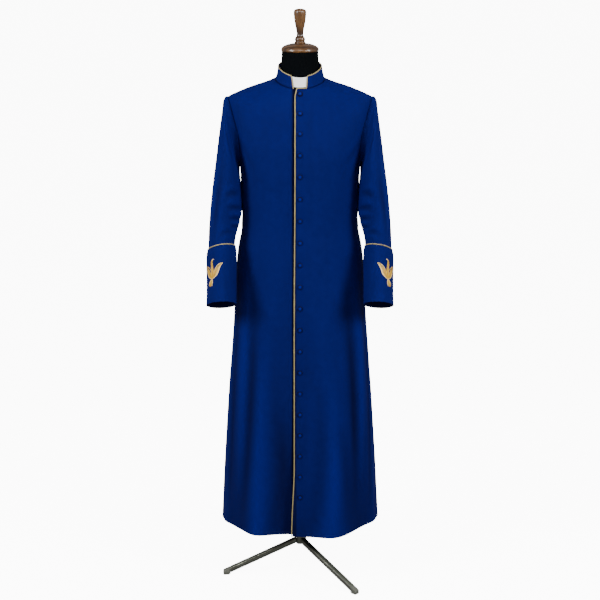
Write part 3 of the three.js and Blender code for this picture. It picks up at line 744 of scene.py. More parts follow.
def bands_at(tree, place, pitch, direction):
    """Even bands a pitch apart, in metres, across one axis or along the diagonal."""
    turns = 10 if direction == "DIAGONAL" else 20
    inputs = {"Vector": place, "Scale": 2 * math.pi / (turns * pitch)}
    wave = add_node(tree, "ShaderNodeTexWave", inputs, wave_type="BANDS", bands_direction=direction)
    return wave.outputs["Fac"]


def flat_place(tree):
    return add_node(tree, "ShaderNodeUVMap", uv_map="real_size").outputs["UV"]


def object_place(tree, stretch=(1, 1, 1)):
    place = add_node(tree, "ShaderNodeTexCoord").outputs["Object"]
    return add_node(tree, "ShaderNodeMapping", {"Vector": place, "Scale": stretch}).outputs["Vector"]


def set_bump(tree, shader, height, distance, strength=1.0, under=None):
    inputs = {"Height": height, "Distance": distance, "Strength": strength}
    if under:
        inputs["Normal"] = under
    bump = add_node(tree, "ShaderNodeBump", inputs)
    tree.links.new(bump.outputs["Normal"], shader.inputs["Normal"])
    return bump.outputs["Normal"]


def shaded(colour, factor):
    return tuple(min(1.0, channel * factor) for channel in colour[:3])


def twill_finish(name, colour, sheen, pitch, relief, roughness):
    """Worsted twill: fine diagonal ribs crossed by threads, a soft nap and slow shade changes, with painted shade and
    painted highlight from each piece's shade attribute.
    """
    material, tree, shader = new_finish(
        name, Sheen_Weight=sheen, Sheen_Roughness=0.42, Specular_IOR_Level=0.06,
    )
    shader.inputs["Sheen Tint"].default_value = (*shaded(colour, 5), 1)
    place = flat_place(tree)
    ribs = bands_at(tree, place, pitch, "DIAGONAL")
    threads = bands_at(tree, place, pitch * 0.72, "X")
    weave = calculate(tree, "MULTIPLY", ribs, ranged(tree, threads, 0, 1, 0.62, 1))
    fluff = noise_at(tree, place, 2600, 2)
    slow = noise_at(tree, object_place(tree), 5.5, 4, 0.55)
    lengthwise = noise_at(tree, object_place(tree, (38, 38, 2.2)), 1, 3)
    shade = calculate(tree, "ADD", calculate(tree, "MULTIPLY", slow, 0.6), calculate(tree, "MULTIPLY", lengthwise, 0.4))
    broad = blend_colours(tree, ranged(tree, shade, 0.3, 0.7, 0, 1), shaded(colour, 0.86), shaded(colour, 1.12))
    fine = ranged(tree, weave, 0, 1, 0.0, 0.3)
    base = blend_colours(tree, fine, broad, shaded(colour, 1.7))
    # Painted shade (red of the shade attribute) darkens the cloth, and painted highlight (green) lightens it.
    painted_light = add_node(tree, "ShaderNodeVertexColor", layer_name="shade").outputs["Color"]
    amounts = add_node(tree, "ShaderNodeSeparateColor", {"Color": painted_light}).outputs
    base = blend_colours(tree, amounts["Green"], base, shaded(colour, 2.2))
    base = blend_colours(tree, amounts["Red"], base, shaded(colour, 0.04))
    tree.links.new(base, shader.inputs["Base Color"])
    rough = ranged(tree, calculate(tree, "ADD", weave, fluff), 0.4, 1.6, roughness + 0.06, roughness - 0.08)
    tree.links.new(rough, shader.inputs["Roughness"])
    height = calculate(tree, "ADD", weave, calculate(tree, "MULTIPLY", fluff, 0.35))
    set_bump(tree, shader, height, relief)
    return material


def cord_finish(name, colour):
    """Bias strip wrapped round a cord: a fine slanting rib, and a soft lustre."""
    material, tree, shader = new_finish(
        name, Sheen_Weight=0.25, Sheen_Roughness=0.35, Specular_IOR_Level=0.4,
    )
    place = flat_place(tree)
    ribs = bands_at(tree, place, 0.0011, "DIAGONAL")
    threads = bands_at(tree, place, 0.0006, "Y")
    weave = calculate(tree, "MULTIPLY", ribs, ranged(tree, threads, 0, 1, 0.6, 1))
    slow = noise_at(tree, object_place(tree), 60, 3)
    broad = blend_colours(tree, ranged(tree, slow, 0.3, 0.7, 0, 1), shaded(colour, 0.82), shaded(colour, 1.08))
    base = blend_colours(tree, weave, shaded(colour, 0.66), broad)
    tree.links.new(base, shader.inputs["Base Color"])
    tree.links.new(ranged(tree, weave, 0, 1, 0.6, 0.42), shader.inputs["Roughness"])
    set_bump(tree, shader, weave, 0.0002)
    return material


def tab_finish(name, colour):
    """White starched linen, pressed smooth."""
    material, tree, shader = new_finish(name, Specular_IOR_Level=0.4, Coat_Weight=0.1, Coat_Roughness=0.4)
    place = flat_place(tree)
    weave = calculate(tree, "MULTIPLY", bands_at(tree, place, 0.0007, "X"), bands_at(tree, place, 0.0007, "Y"))
    cloud = noise_at(tree, object_place(tree), 90, 3)
    mixed = calculate(tree, "ADD", calculate(tree, "MULTIPLY", weave, 0.5), calculate(tree, "MULTIPLY", cloud, 0.5))
    base = blend_colours(tree, mixed, shaded(colour, 0.9), colour)
    tree.links.new(base, shader.inputs["Base Color"])
    tree.links.new(ranged(tree, mixed, 0, 1, 0.62, 0.45), shader.inputs["Roughness"])
    set_bump(tree, shader, weave, 0.00008)
    return material


def thread_finish(name, pale, light, dark):
    """Satin stitched metallic thread: each stitch's own shade comes from the mesh."""
    material, tree, shader = new_finish(
        name, Anisotropic=0.3, Specular_IOR_Level=0.2,
    )
    shade = add_node(tree, "ShaderNodeVertexColor", layer_name="shade").outputs["Color"]
    amount = add_node(tree, "ShaderNodeSeparateColor", {"Color": shade}).outputs["Red"]
    glint = noise_at(tree, object_place(tree), 420, 4, 0.7)
    mixed = calculate(tree, "ADD", amount, ranged(tree, glint, 0.3, 0.7, -0.24, 0.24))
    gold = blend_colours(tree, ranged(tree, mixed, 0, 0.75, 0, 1), dark, light)
    base = blend_colours(tree, ranged(tree, mixed, 0.7, 1.1, 0, 1), gold, pale)
    tree.links.new(base, shader.inputs["Base Color"])
    tree.links.new(ranged(tree, glint, 0.3, 0.7, 0.42, 0.3), shader.inputs["Roughness"])
    set_bump(tree, shader, glint, 0.00008)
    return material


def jersey_finish(name, colour):
    """Black knitted cover: rows of small loops stretched over the form."""
    material, tree, shader = new_finish(name, Specular_IOR_Level=0.04)
    place = flat_place(tree)
    loops = calculate(tree, "MULTIPLY", bands_at(tree, place, 0.0012, "X"), bands_at(tree, place, 0.0009, "Y"))
    slow = noise_at(tree, object_place(tree), 14, 4)
    broad = blend_colours(tree, ranged(tree, slow, 0.3, 0.7, 0, 1), shaded(colour, 0.75), shaded(colour, 1.35))
    base = blend_colours(tree, ranged(tree, loops, 0, 1, 0, 0.5), broad, shaded(colour, 2.2))
    tree.links.new(base, shader.inputs["Base Color"])
    tree.links.new(ranged(tree, loops, 0, 1, 0.85, 0.66), shader.inputs["Roughness"])
    set_bump(tree, shader, loops, 0.00018)
    return material


def wood_finish(name, light, dark, coat):
    """Dark stained hardwood under varnish: long grain, pores and slow colour change."""
    material, tree, shader = new_finish(name, Coat_Weight=coat, Coat_Roughness=0.12, Specular_IOR_Level=0.45)
    place = object_place(tree, (1, 1, 0.12))
    wander = noise_at(tree, place, 22, 5, 0.6, 1.2)
    inputs = {"Vector": place, "Scale": 16, "Distortion": 5, "Detail": 4, "Detail Scale": 1.6}
    rings = add_node(tree, "ShaderNodeTexWave", inputs, wave_type="RINGS", rings_direction="Z").outputs["Fac"]
    pores = noise_at(tree, object_place(tree, (1, 1, 0.05)), 620, 2, 0.7)
    dots = ranged(tree, pores, 0.56, 0.66, 0, 1)
    grain = calculate(tree, "ADD", calculate(tree, "MULTIPLY", rings, 0.5), calculate(tree, "MULTIPLY", wander, 0.5))
    figured = blend_colours(tree, ranged(tree, grain, 0.25, 0.75, 0, 1), dark, light)
    base = blend_colours(tree, calculate(tree, "MULTIPLY", dots, 0.6), figured, shaded(dark, 0.45))
    tree.links.new(base, shader.inputs["Base Color"])
    tree.links.new(ranged(tree, grain, 0, 1, 0.42, 0.28), shader.inputs["Roughness"])
    set_bump(tree, shader, calculate(tree, "SUBTRACT", grain, dots), 0.00012)
    return material


def steel_finish(name, colour, along):
    """Brushed steel: fine streaks along the tube, faint smudges and duller patches."""
    material, tree, shader = new_finish(name, Metallic=0.85, Anisotropic=0.3, Specular_IOR_Level=0.5)
    streaks = noise_at(tree, object_place(tree, along), 1, 4, 0.65)
    smudge = noise_at(tree, object_place(tree), 34, 4, 0.6)
    mixed = calculate(tree, "ADD", calculate(tree, "MULTIPLY", streaks, 0.65), calculate(tree, "MULTIPLY", smudge, 0.35))
    base = blend_colours(tree, ranged(tree, mixed, 0.3, 0.7, 0, 1), shaded(colour, 0.72), shaded(colour, 1.22))
    tree.links.new(base, shader.inputs["Base Color"])
    tree.links.new(ranged(tree, mixed, 0.3, 0.7, 0.5, 0.3), shader.inputs["Roughness"])
    set_bump(tree, shader, streaks, 0.00006)
    return material


def foot_finish(name, colour):
    """Moulded rubber foot with a fine grain and scuffed edges."""
    material, tree, shader = new_finish(name, Specular_IOR_Level=0.4)
    grain = noise_at(tree, object_place(tree), 1500, 3)
    scuff = noise_at(tree, object_place(tree), 120, 5, 0.7)
    base = blend_colours(tree, ranged(tree, scuff, 0.4, 0.75, 0, 1), shaded(colour, 0.85), shaded(colour, 1.4))
    tree.links.new(base, shader.inputs["Base Color"])
    tree.links.new(ranged(tree, scuff, 0.3, 0.7, 0.5, 0.7), shader.inputs["Roughness"])
    set_bump(tree, shader, grain, 0.0001)
    return material


def floor_finish(name, colour, glow):
    """White studio paper, lit from behind."""
    material, tree, shader = new_finish(name, Roughness=0.8, Specular_IOR_Level=0.0, Emission_Strength=glow)
    cloud = noise_at(tree, object_place(tree), 0.8, 3)
    base = blend_colours(tree, cloud, shaded(colour, 0.985), colour)
    tree.links.new(base, shader.inputs["Base Color"])
    tree.links.new(base, shader.inputs["Emission Color"])
    return material


def finish(kind, name, *values):
    """The finish of that name, made the first time that it is asked for."""
    return bpy.data.materials.get(name) or kind(name, *values)


# ------------------------------------------------------------------ settings


def colour_setting(label, text, default):
    return FloatVectorProperty(name=label, description=text, default=default, subtype="COLOR", min=0, max=1)


def length_setting(label, text, default):
    return FloatProperty(name=label, description=text, default=default, unit="LENGTH", subtype="DISTANCE", min=0)


class CassockSettings(bpy.types.PropertyGroup):
    """Sizes and colours of the garment."""

    cloth: colour_setting("Cloth", "Colour of the cassock's twill", (0.0012, 0.0036, 0.078))
    cord: colour_setting("Piping", "Colour of the piping", (0.42, 0.34, 0.145))
    tab: colour_setting("Collar tab", "Colour of the collar's white tab", (0.93, 0.95, 0.93))
    thread_light: colour_setting("Light thread", "Gold of the embroidery", (0.6, 0.34, 0.022))
    thread_pale: colour_setting("Pale thread", "Palest gold, along the embroidery's borders", (0.9, 0.7, 0.32))
    thread_dark: colour_setting("Dark thread", "Darkest gold of the embroidery", (0.24, 0.1, 0.003))
    weave_pitch: length_setting("Weave pitch", "Distance between the twill's ribs", 0.0011)
    cord_radius: length_setting("Piping radius", "Radius of the piping", 0.0018)
    button_radius: length_setting("Button radius", "Radius of a covered button", 0.0082)
    button_height: length_setting("Button height", "Height of a covered button", 0.005)
    stitch_pitch: length_setting("Stitch pitch", "Distance between satin stitches", 0.00055)


class StandSettings(bpy.types.PropertyGroup):
    """Colours of the dress form and its stand."""

    cover: colour_setting("Cover", "Colour of the form's knitted cover", (0.0007, 0.0012, 0.0018))
    wood_light: colour_setting("Light wood", "Lighter grain of the turned wood", (0.125, 0.055, 0.015))
    wood_dark: colour_setting("Dark wood", "Darker grain of the turned wood", (0.032, 0.012, 0.003))
    steel: colour_setting("Steel", "Colour of the stand's steel", (0.17, 0.178, 0.145))
    foot: colour_setting("Feet", "Colour of the leg ends", (0.11, 0.114, 0.094))


class StudioSettings(bpy.types.PropertyGroup):
    """Floor, lights and camera."""

    floor: colour_setting("Floor", "Colour of the floor", (0.95, 0.95, 0.95))
    floor_glow: FloatProperty(name="Floor glow", description="How brightly the floor's paper glows", default=11, min=0)
    key_power: FloatProperty(name="Side lights", description="Power of each side light", default=125, unit="POWER", min=0)
    fill_power: FloatProperty(name="Fill light", description="Power of the light over the camera", default=40, unit="POWER", min=0)
    world_strength: FloatProperty(name="Room light", description="Strength of the room's own light", default=0.3, min=0)
    lens: FloatProperty(name="Lens", description="Focal length in millimetres", default=77.1, min=10)
    reach: length_setting("Room reach", "Radius of the floor and of the dome over it", 60)


def cloth_finish():
    looks = bpy.context.scene.cassock
    return finish(twill_finish, "blue_twill", looks.cloth, 0.12, looks.weave_pitch, 0.00022, 0.74)


def piping_finish():
    return finish(cord_finish, "gold_bias_cord", bpy.context.scene.cassock.cord)


# ------------------------------------------------------------------ the cassock


def panel_rows():
    """Rows of the body panels, close together at the hem, the armholes and the neck."""
    below = np.concatenate([np.linspace(i, i + 1, n, endpoint=False) for i, n in enumerate((15, 16, 14, 10, 8, 7, 8, 8))])
    below = np.concatenate([[0, 0.006, 0.016], below[1:]])
    armhole = UNDERARM_ROW + 1 - np.cos(np.linspace(0, np.pi, 29))
    above = SHOULDER_ROW + 2 * np.linspace(0, 1, 25)[1:] ** 0.9
    near_neck = [NECK_ROW - 0.06, NECK_ROW - 0.025]
    return np.unique(np.concatenate([below, armhole, above, near_neck]))


def panel_places(first, last, columns, sides=""):
    """Rows and turns of a body panel between two edges given by turn; armholes bite into its sides."""
    row = panel_rows()[:, None] * np.ones(columns)
    share = eased(columns)
    edges = [edge(row) if callable(edge) else edge for edge in (first, last)]
    turn = edges[0] * (1 - share) + edges[1] * share
    if "first" in sides:
        turn = turn + armhole_turn(row) * (1 - share) ** 3
    if "last" in sides:
        turn = turn - armhole_turn(row) * share**3
    return row, turn


def pull_in(points, wrap=False):
    """Takes half a seam gap off a grid's free edges."""
    return points - outward_edges(points, wrap) * SEAM_GAP / 2


class CASSOCK_OT_body(bpy.types.Operator):
    """Makes the two fronts and the back"""

    bl_idname = "cassock.body"
    bl_label = "Fronts and Back"
    bl_options = {"REGISTER", "UNDO"}

    def execute(self, context):
        underlap = lambda row: turn_at(BODY, row, UNDERLAP)
        panels = {
            "front_left": ("upper", edge_turn, 90, 72, ["last", "top"]),
            "front_right": ("under", -90, underlap, 76, ["first", "top"]),
            "back": ("", 90, 270, 130, ["first", "last", "top"]),
        }
        for node, (layer, first, last, columns, seams) in panels.items():
            row, turn = panel_places(first, last, columns, seams)
            points, normal = face_with_normals(body_face(layer), row, turn)
            points = seam_dip(pull_in(points), normal, seams)
            shape = cloth_wall(points, normal, WALL)
            panel = new_piece("cloth_" + node, shape, cloth_finish(), [node])
            # Painted shade and painted highlight of the panel, from body_shades.
            set_shades(panel, *(wall_shades(values) for values in body_shades(layer, row, turn)))
        return {"FINISHED"}


def collar_grid(rows=15, columns=170):
    """Points, normals, rows and turns of the collar band, from one end of its gap to the other."""
    row = np.linspace(0, 2, rows)
    row[1], row[-2] = 0.05, 1.95
    first = turn_at(COLLAR, row, GAP_LOW_LEFT + (GAP_HIGH_LEFT - GAP_LOW_LEFT) * row / 2)
    last = 360 + turn_at(COLLAR, row, GAP_LOW_RIGHT + (GAP_HIGH_RIGHT - GAP_LOW_RIGHT) * row / 2)
    share = eased(columns, 0.7)
    turn = first[:, None] * (1 - share) + last[:, None] * share

    def face(r, t):
        point = ring_points(COLLAR, r, t)
        wave = 0.35 * np.sin(np.radians(t) * 5 + 0.7) * np.sin(r * 1.5)
        point[..., :2] *= 1 + wave[..., None] / 70
        return point

    points, normal = face_with_normals(face, row[:, None] * np.ones(columns), turn)
    points[0, :, 2] += SEAM_GAP
    return points, normal


class CASSOCK_OT_collar(bpy.types.Operator):
    """Makes the standing collar and its white tab"""

    bl_idname = "cassock.collar"
    bl_label = "Collar and Tab"
    bl_options = {"REGISTER", "UNDO"}

    def execute(self, context):
        points, normal = collar_grid()
        shape = cloth_wall(seam_dip(points, normal, ["bottom"], 0.5, 1.6), normal, BAND_WALL)
        band = new_piece("collar_band", shape, cloth_finish(), ["collar"])

        row = np.array([0.4, 0.46, 0.56, 0.8, 1, 1.2, 1.4, 1.6, 1.8, 1.93, 2])
        share = np.concatenate([[-1, -0.97, -0.92], np.linspace(-0.85, 0.85, 17), [0.92, 0.97, 1]])
        turn = turn_at(COLLAR, row, TAB_HALF)[:, None] * share
        face = lambda r, t: ring_points(COLLAR, r, t)
        points, normal = face_with_normals(face, row[:, None] * np.ones(len(share)), turn)
        points -= normal * (BAND_WALL + SEAM_GAP)
        shape = cloth_wall(points, normal, TAB_WALL)
        white = finish(tab_finish, "starched_linen", context.scene.cassock.tab)
        tab = new_piece("white_tab", shape, white, ["collar_tab"])
        return {"FINISHED"}


class CASSOCK_OT_front_cord(bpy.types.Operator):
    """Runs one cord round the collar, along the neckline and down the front edge"""

    bl_idname = "cassock.front_cord"
    bl_label = "Front Piping"
    bl_options = {"REGISTER", "UNDO"}

    def execute(self, context):
        radius = context.scene.cassock.cord_radius / MM
        lift = radius + 0.35
        band, normal = collar_grid(9, 120)
        band = band - normal * BAND_WALL / 2
        top = band[-1] + lift * unit(band[-1] - band[-2])
        right = band[:, -1] + lift * unit(band[:, -1] - band[:, -4])
        left = band[:, 0] + lift * unit(band[:, 0] - band[:, 3])
        corner = lambda line: line[-1] + lift * unit(line[-1] - line[-2])

        points = body_face("upper")(*panel_places(edge_turn, 90, 72, ["last"]))
        edge = (points[:, 0] + lift * unit(points[:, 0] - points[:, 3]))[::-1]
        neck = []
        for x in (GAP_LOW_LEFT - lift, 17, 11, 5, 0, points[-1, 0, 0] - lift / 2):
            place = body_face("upper")(np.array(float(NECK_ROW)), turn_at(BODY, np.array(float(NECK_ROW)), x))
            neck.append(place + [0, 0, radius + 0.9])
        path = np.concatenate([
            right[:-1], [corner(right)], top[3:-3][::-1], [corner(left)], left[1:-1][::-1], neck, edge[3:],
        ])
        path = even_path(soft_corners(path, 2.8), 2.2)
        shape = round_cord(path, radius)
        new_piece("front_cord", shape, piping_finish(), ["piping_front"])
        return {"FINISHED"}


def button_shape(radius, height, seat, normal):
    """A covered button: a domed cap over a tucked rim, on the puckered cloth round it; a painted shadow ring lies over
    the rim and that cloth, and a painted highlight on top of the dome.
    """
    profile = rounded_profile([
        [0, -0.5], [1.28 * radius, -0.5], [1.26 * radius, 0.04 * height], [1.1 * radius, 0.09 * height],
        [0.96 * radius, 0.12 * height], [radius, 0.3 * height], [0.96 * radius, 0.52 * height],
        [0.8 * radius, 0.78 * height], [0.52 * radius, 0.93 * height], [0.22 * radius, 0.99 * height], [0, height],
    ], 4)
    matrix = Vector(normal).to_track_quat("Z", "Y").to_matrix().to_4x4()
    matrix.translation = seat
    # Painted shadow ring over the rim and the flange of cloth round it, and painted highlight on the dome's top.
    across = np.append(np.repeat(profile[:, 0] / radius, 36), [0, 0])
    dark = 0.9 * smooth_step(across, 0.5, 0.85) * (1 - smooth_step(across, 1.1, 1.28))
    light = 0.45 * (1 - smooth_step(across, 0.3, 0.62))
    return turned(profile, matrix, 36), dark, light


class CASSOCK_OT_buttons(bpy.types.Operator):
    """Makes the twenty covered buttons down the centre line"""

    bl_idname = "cassock.buttons"
    bl_label = "Covered Buttons"
    bl_options = {"REGISTER", "UNDO"}

    def execute(self, context):
        looks = context.scene.cassock
        rows = np.linspace(0, NECK_ROW, 1600)
        points, normal = face_with_normals(body_face("upper"), rows, np.zeros(rows.shape))
        made = []
        for z in button_heights():
            seat = np.array([np.interp(z, points[:, 2], points[:, k]) for k in range(3)])
            out = unit(np.array([0, *(np.interp(z, points[:, 2], normal[:, k]) for k in (1, 2))]))
            made.append(button_shape(looks.button_radius / MM, looks.button_height / MM, seat, out))
        shapes, dark, light = zip(*made)
        # The buttons' cloth is the cassock blue made 1.3 times lighter, a painted highlight over each whole button.
        painted_lit_button_cloth = finish(twill_finish, "button_twill", shaded(looks.cloth, 1.3), 0.12, 0.0008, 0.00015, 0.5)
        nodes = [f"button_{k:02d}" for k in range(1, len(shapes) + 1)]
        buttons = new_piece("covered_buttons", joined(shapes), painted_lit_button_cloth, nodes)
        # Painted shadow ring and painted highlight of each button.
        set_shades(buttons, np.concatenate(dark), np.concatenate(light))
        return {"FINISHED"}


def sleeve_ring(row, phase, swell=0.0):
    """Points of the left sleeve; phase is 0 at its outer point and 90 at its front."""
    out_x, out_z, in_x, in_z, depth, mid, lean = np.moveaxis(table_rows(SLEEVE, row), -1, 0)
    outer = np.stack([out_x, mid, out_z], -1)
    inner = np.stack([in_x, mid, in_z], -1)
    centre, wide = (outer + inner) / 2, (outer - inner) / 2
    half = np.linalg.norm(wide, axis=-1, keepdims=True)
    lean = np.radians(lean)
    front = np.stack([0 * lean, -np.cos(lean), np.sin(lean)], -1)
    angle = np.radians(phase)[..., None]
    swell = np.asarray(swell, float)[..., None]
    across = wide / half * (half + swell) * np.cos(angle)
    return centre + across + front * (depth[..., None] + swell) * np.sin(angle)


def armhole_ring(phase):
    """The armhole's ring on the body, drawn in by the seam gap."""
    row = UNDERARM_ROW + 1 + np.cos(np.radians(phase))
    turn = 90 - ARMHOLE_SPREAD * np.sin(np.radians(phase))
    points = body_face("")(row, turn)
    return points + SEAM_GAP * unit(points.mean(0) - points)


def sleeve_relief(row, phase):
    scale = np.array([SLEEVE_MM_PER_DEGREE, SLEEVE_MM_PER_ROW, SLEEVE_MM_PER_DEGREE, SLEEVE_MM_PER_ROW, 1, 1])
    across, along = phase * SLEEVE_MM_PER_DEGREE, row * SLEEVE_MM_PER_ROW
    relief = crease_relief(SLEEVE_CREASES * scale, across, along, 360 * SLEEVE_MM_PER_DEGREE)
    return relief + 0.7 * undulation(across + 40, along)


def left_sleeve(columns=96):
    """Points and normals of the left sleeve, from the armhole to inside the cuff."""
    phase = 360 * np.arange(columns) / columns
    armhole = armhole_ring(phase)
    rows = np.concatenate([[0.02, 0.06], np.linspace(0.12, 1, 8), np.linspace(1, SLEEVE_LAST, 118)[1:]])
    grid_row = rows[:, None] * np.ones(columns)
    grid_phase = phase * np.ones((len(rows), 1))
    below = sleeve_ring(grid_row, grid_phase)
    first, second = sleeve_ring(np.zeros(columns), phase), sleeve_ring(np.ones(columns), phase)
    lead = np.linspace(0, 1, 9)[1:, None, None]
    rise = first - armhole
    start_slope, end_slope = rise, (second - armhole) / 2
    cap = (
        (2 * lead**3 - 3 * lead**2 + 1) * armhole
        + (lead**3 - 2 * lead**2 + lead) * start_slope
        + (-2 * lead**3 + 3 * lead**2) * first
        + (lead**3 - lead**2) * end_slope
    )
    points = np.concatenate([armhole[None], cap, below])
    along = np.roll(points, -1, 1) - np.roll(points, 1, 1)
    up = np.gradient(points, axis=0)
    normal = unit(np.cross(along, up))
    relief = np.zeros(points.shape[:2])
    relief[9:] = sleeve_relief(grid_row, grid_phase)
    relief[9:] *= smooth_step(grid_row, 0, 0.8) * (1 - smooth_step(grid_row, 9.4, 9.9))
    points = points + normal * relief[..., None]
    along = np.roll(points, -1, 1) - np.roll(points, 1, 1)
    normal = unit(np.cross(along, np.gradient(points, axis=0)))
    return points, normal, relief


class CASSOCK_OT_sleeves(bpy.types.Operator):
    """Makes both sleeves"""

    bl_idname = "cassock.sleeves"
    bl_label = "Sleeves"
    bl_options = {"REGISTER", "UNDO"}

    def execute(self, context):
        points, normal, relief = left_sleeve()
        outward = (normal * (points - points.mean(1, keepdims=True))).sum(-1).mean()
        if outward < 0:
            raise RuntimeError("the sleeve's normals face inwards")
        points = seam_dip(points, normal, ["bottom"])
        left = cloth_wall(points, normal, WALL, wrap=True)
        for side, shape in (("left", left), ("right", mirrored(left))):
            sleeve = new_piece("cloth_sleeve_" + side, shape, cloth_finish(), ["sleeve_" + side])
            # Painted shade in the sleeve's troughs and painted highlight on its ridges.
            set_shades(sleeve, *(wall_shades(np.clip(sign * relief, 0, None) / 7, True) for sign in (-1, 1)))
        return {"FINISHED"}


def cuff_face(row, phase):
    """The left cuff's outer face."""
    swell = np.interp(row, CUFF[:, 0], CUFF[:, 1])
    scale = np.array([SLEEVE_MM_PER_DEGREE, SLEEVE_MM_PER_ROW, SLEEVE_MM_PER_DEGREE, SLEEVE_MM_PER_ROW, 1, 1])
    across, along = phase * SLEEVE_MM_PER_DEGREE, row * SLEEVE_MM_PER_ROW
    relief = crease_relief(CUFF_CREASES * scale, across, along, 360 * SLEEVE_MM_PER_DEGREE)
    relief *= smooth_step(row, 10.1, 10.6) * (1 - smooth_step(row, 12.6, 13))
    return sleeve_ring(row, phase, swell + relief)


def cuff_points(row, phase, lift=0.0):
    points = cuff_face(row, phase)
    along = cuff_face(row, phase + 0.5) - cuff_face(row, phase - 0.5)
    up = cuff_face(row + 0.01, phase) - cuff_face(row - 0.01, phase)
    normal = unit(np.cross(along, up))
    return points + normal * np.asarray(lift, float)[..., None], normal


class CASSOCK_OT_cuffs(bpy.types.Operator):
    """Makes both turned-back cuffs and the cords along their top edges"""

    bl_idname = "cassock.cuffs"
    bl_label = "Cuffs and Cuff Piping"
    bl_options = {"REGISTER", "UNDO"}

    def execute(self, context):
        columns = 96
        phase = 360 * np.arange(columns) / columns
        last = CUFF[-1, 0]
        rows = np.concatenate([[10, 10.025, 10.06, 10.1], np.linspace(10.14, last - 0.05, 46), [last - 0.02, last]])
        points, normal = cuff_points(rows[:, None] * np.ones(columns), phase * np.ones((len(rows), 1)))
        left = cloth_wall(points, normal, CUFF_WALL, wrap=True)
        radius = context.scene.cassock.cord_radius / MM
        fall = SLEEVE[9, 3] - SLEEVE[10, 3]
        circle = 360 * np.arange(180) / 180
        ring = sleeve_ring(np.full(180, 10 - CUFF_CORD_RISE / fall), circle, np.full(180, CUFF[0, 1] - 1.4))
        cord = round_cord(ring, radius, 12, closed=True)
        for side, turn in (("left", lambda shape: shape), ("right", mirrored)):
            cuff = new_piece("turned_cuff_" + side, turn(left), cloth_finish(), ["cuff_" + side])
            new_piece("cuff_cord_" + side, turn(cord), piping_finish(), ["piping_cuff_" + side])
        return {"FINISHED"}


# ------------------------------------------------------------------ embroidery

# Satin lobes of a rising dove, in millimetres on the cuff: across towards the front, and up. Each has
# its middle line, its half widths, its shade from dark to light, and how far it is padded up.
DOVE = [
    ([(0, -16), (-8, -7), (-15.5, 3), (-21.5, 13), (-28, 21), (-37, 28)], (1.5, 5.8, 7.2, 5.6, 2.8, 0.5), 0.35, 0.35),
    ([(-3, -9), (-10, -1), (-17, 9), (-24, 17)], (1, 1.9, 1.8, 0.5), 0.6, 0.8),
    ([(-4, -3), (-9.5, 5), (-16, 13), (-22, 19)], (0.8, 1.7, 1.5, 0.5), 0.72, 0.75),
    ([(-5, -12), (-14, -5), (-21, 4), (-26, 13)], (1, 1.9, 1.7, 0.5), 0.5, 0.75),
    ([(0, -16), (-9, -13), (-18.5, -6), (-25.5, 4), (-29.5, 13), (-33, 21), (-38, 28.5)],
     (1, 1.5, 1.9, 1.9, 1.7, 1.4, 0.4), 0.95, 0.8),
    ([(-5, 9), (-9, 15), (-15, 20.5), (-24, 26), (-37, 29)], (0.7, 1.1, 1.3, 1.2, 0.4), 0.8, 0.8),
    ([(0, -16), (8, -7), (15, 3), (19.5, 12), (26, 21), (36, 28.5)], (1.5, 5.2, 5.8, 4.6, 2.8, 0.5), 0.35, 0.35),
    ([(3, -9), (9.5, -1), (14.5, 8), (20, 17)], (1, 1.8, 1.6, 0.5), 0.6, 0.8),
    ([(4, -13), (13, -6), (19, 3), (23.5, 13)], (1, 1.7, 1.5, 0.5), 0.5, 0.75),
    ([(4, -3), (8, 3), (11.5, 9), (16, 16)], (0.8, 1.5, 1.3, 0.5), 0.72, 0.75),
    ([(0, -16), (9, -13), (17.5, -6), (22.5, 3), (25.5, 12), (30, 20.5), (37.5, 29)],
     (1, 1.5, 1.9, 2.0, 1.8, 1.6, 0.4), 1.0, 0.8),
    ([(7, 4), (10.5, 10), (15, 17), (23, 24.5), (36, 29.5)], (0.7, 1.1, 1.3, 1.3, 0.4), 0.9, 0.8),
    ([(0, -18), (0.5, -8), (1.5, 2), (1, 12), (-1, 22), (-2, 31), (-1.4, 38), (1, 42.5)],
     (1.5, 5.5, 6.8, 6, 5.2, 4.8, 5, 3), 0.5, 0.9),
    ([(-2, -13), (-3, -4), (-3, 8), (-4, 20), (-4.8, 31)], (0.6, 1.2, 1.4, 1.4, 0.5), 0.75, 1.3),
    ([(2.4, -12), (4, -2), (4, 8), (2.2, 19), (1.6, 29)], (0.6, 1.2, 1.4, 1.3, 0.5), 0.62, 1.4),
    ([(-0.5, 41), (3.4, 44), (8.6, 43.4)], (2.8, 1.8, 0.4), 0.95, 0.8),
    ([(0, -15), (-3.2, -21), (-7.4, -28), (-10.4, -34), (-11, -39)], (2, 4.4, 7.8, 8.4, 4.5), 0.4, 0.5),
    ([(-1.6, -19), (-7, -27), (-12.5, -34)], (0.8, 2, 1.3), 0.7, 0.85),
    ([(-1, -19), (-4.4, -28), (-7.6, -38)], (0.8, 2, 1.3), 0.58, 0.85),
    ([(0, -15), (-6, -20), (-13.6, -26.5), (-18.6, -34.5)], (1.2, 1.6, 1.7, 0.7), 1.0, 0.8),
    ([(1, -15), (1.6, -22.5), (1, -31), (-2.6, -39.5)], (1, 1.4, 1.5, 0.7), 0.95, 0.8),
]
DOVE_PHASE = 57.0
DOVE_ROW = 11.5
STITCHES_ACROSS = 9


def cuff_places():
    """Turns millimetres across and up from the embroidery's middle into phases and rows of the cuff."""
    phase = np.linspace(-60, 200, 1041)
    points = cuff_face(np.full(phase.shape, DOVE_ROW), phase)
    across = steps_along(points[:, None], 0)[:, 0]
    across -= np.interp(DOVE_PHASE, phase, across)
    row = np.linspace(10.1, 13, 291)
    points = cuff_face(row, np.full(row.shape, DOVE_PHASE))
    down = steps_along(points[:, None], 0)[:, 0]
    down -= np.interp(DOVE_ROW, row, down)
    return lambda s, up: (np.interp(s, across, phase), np.interp(-up, down, row))


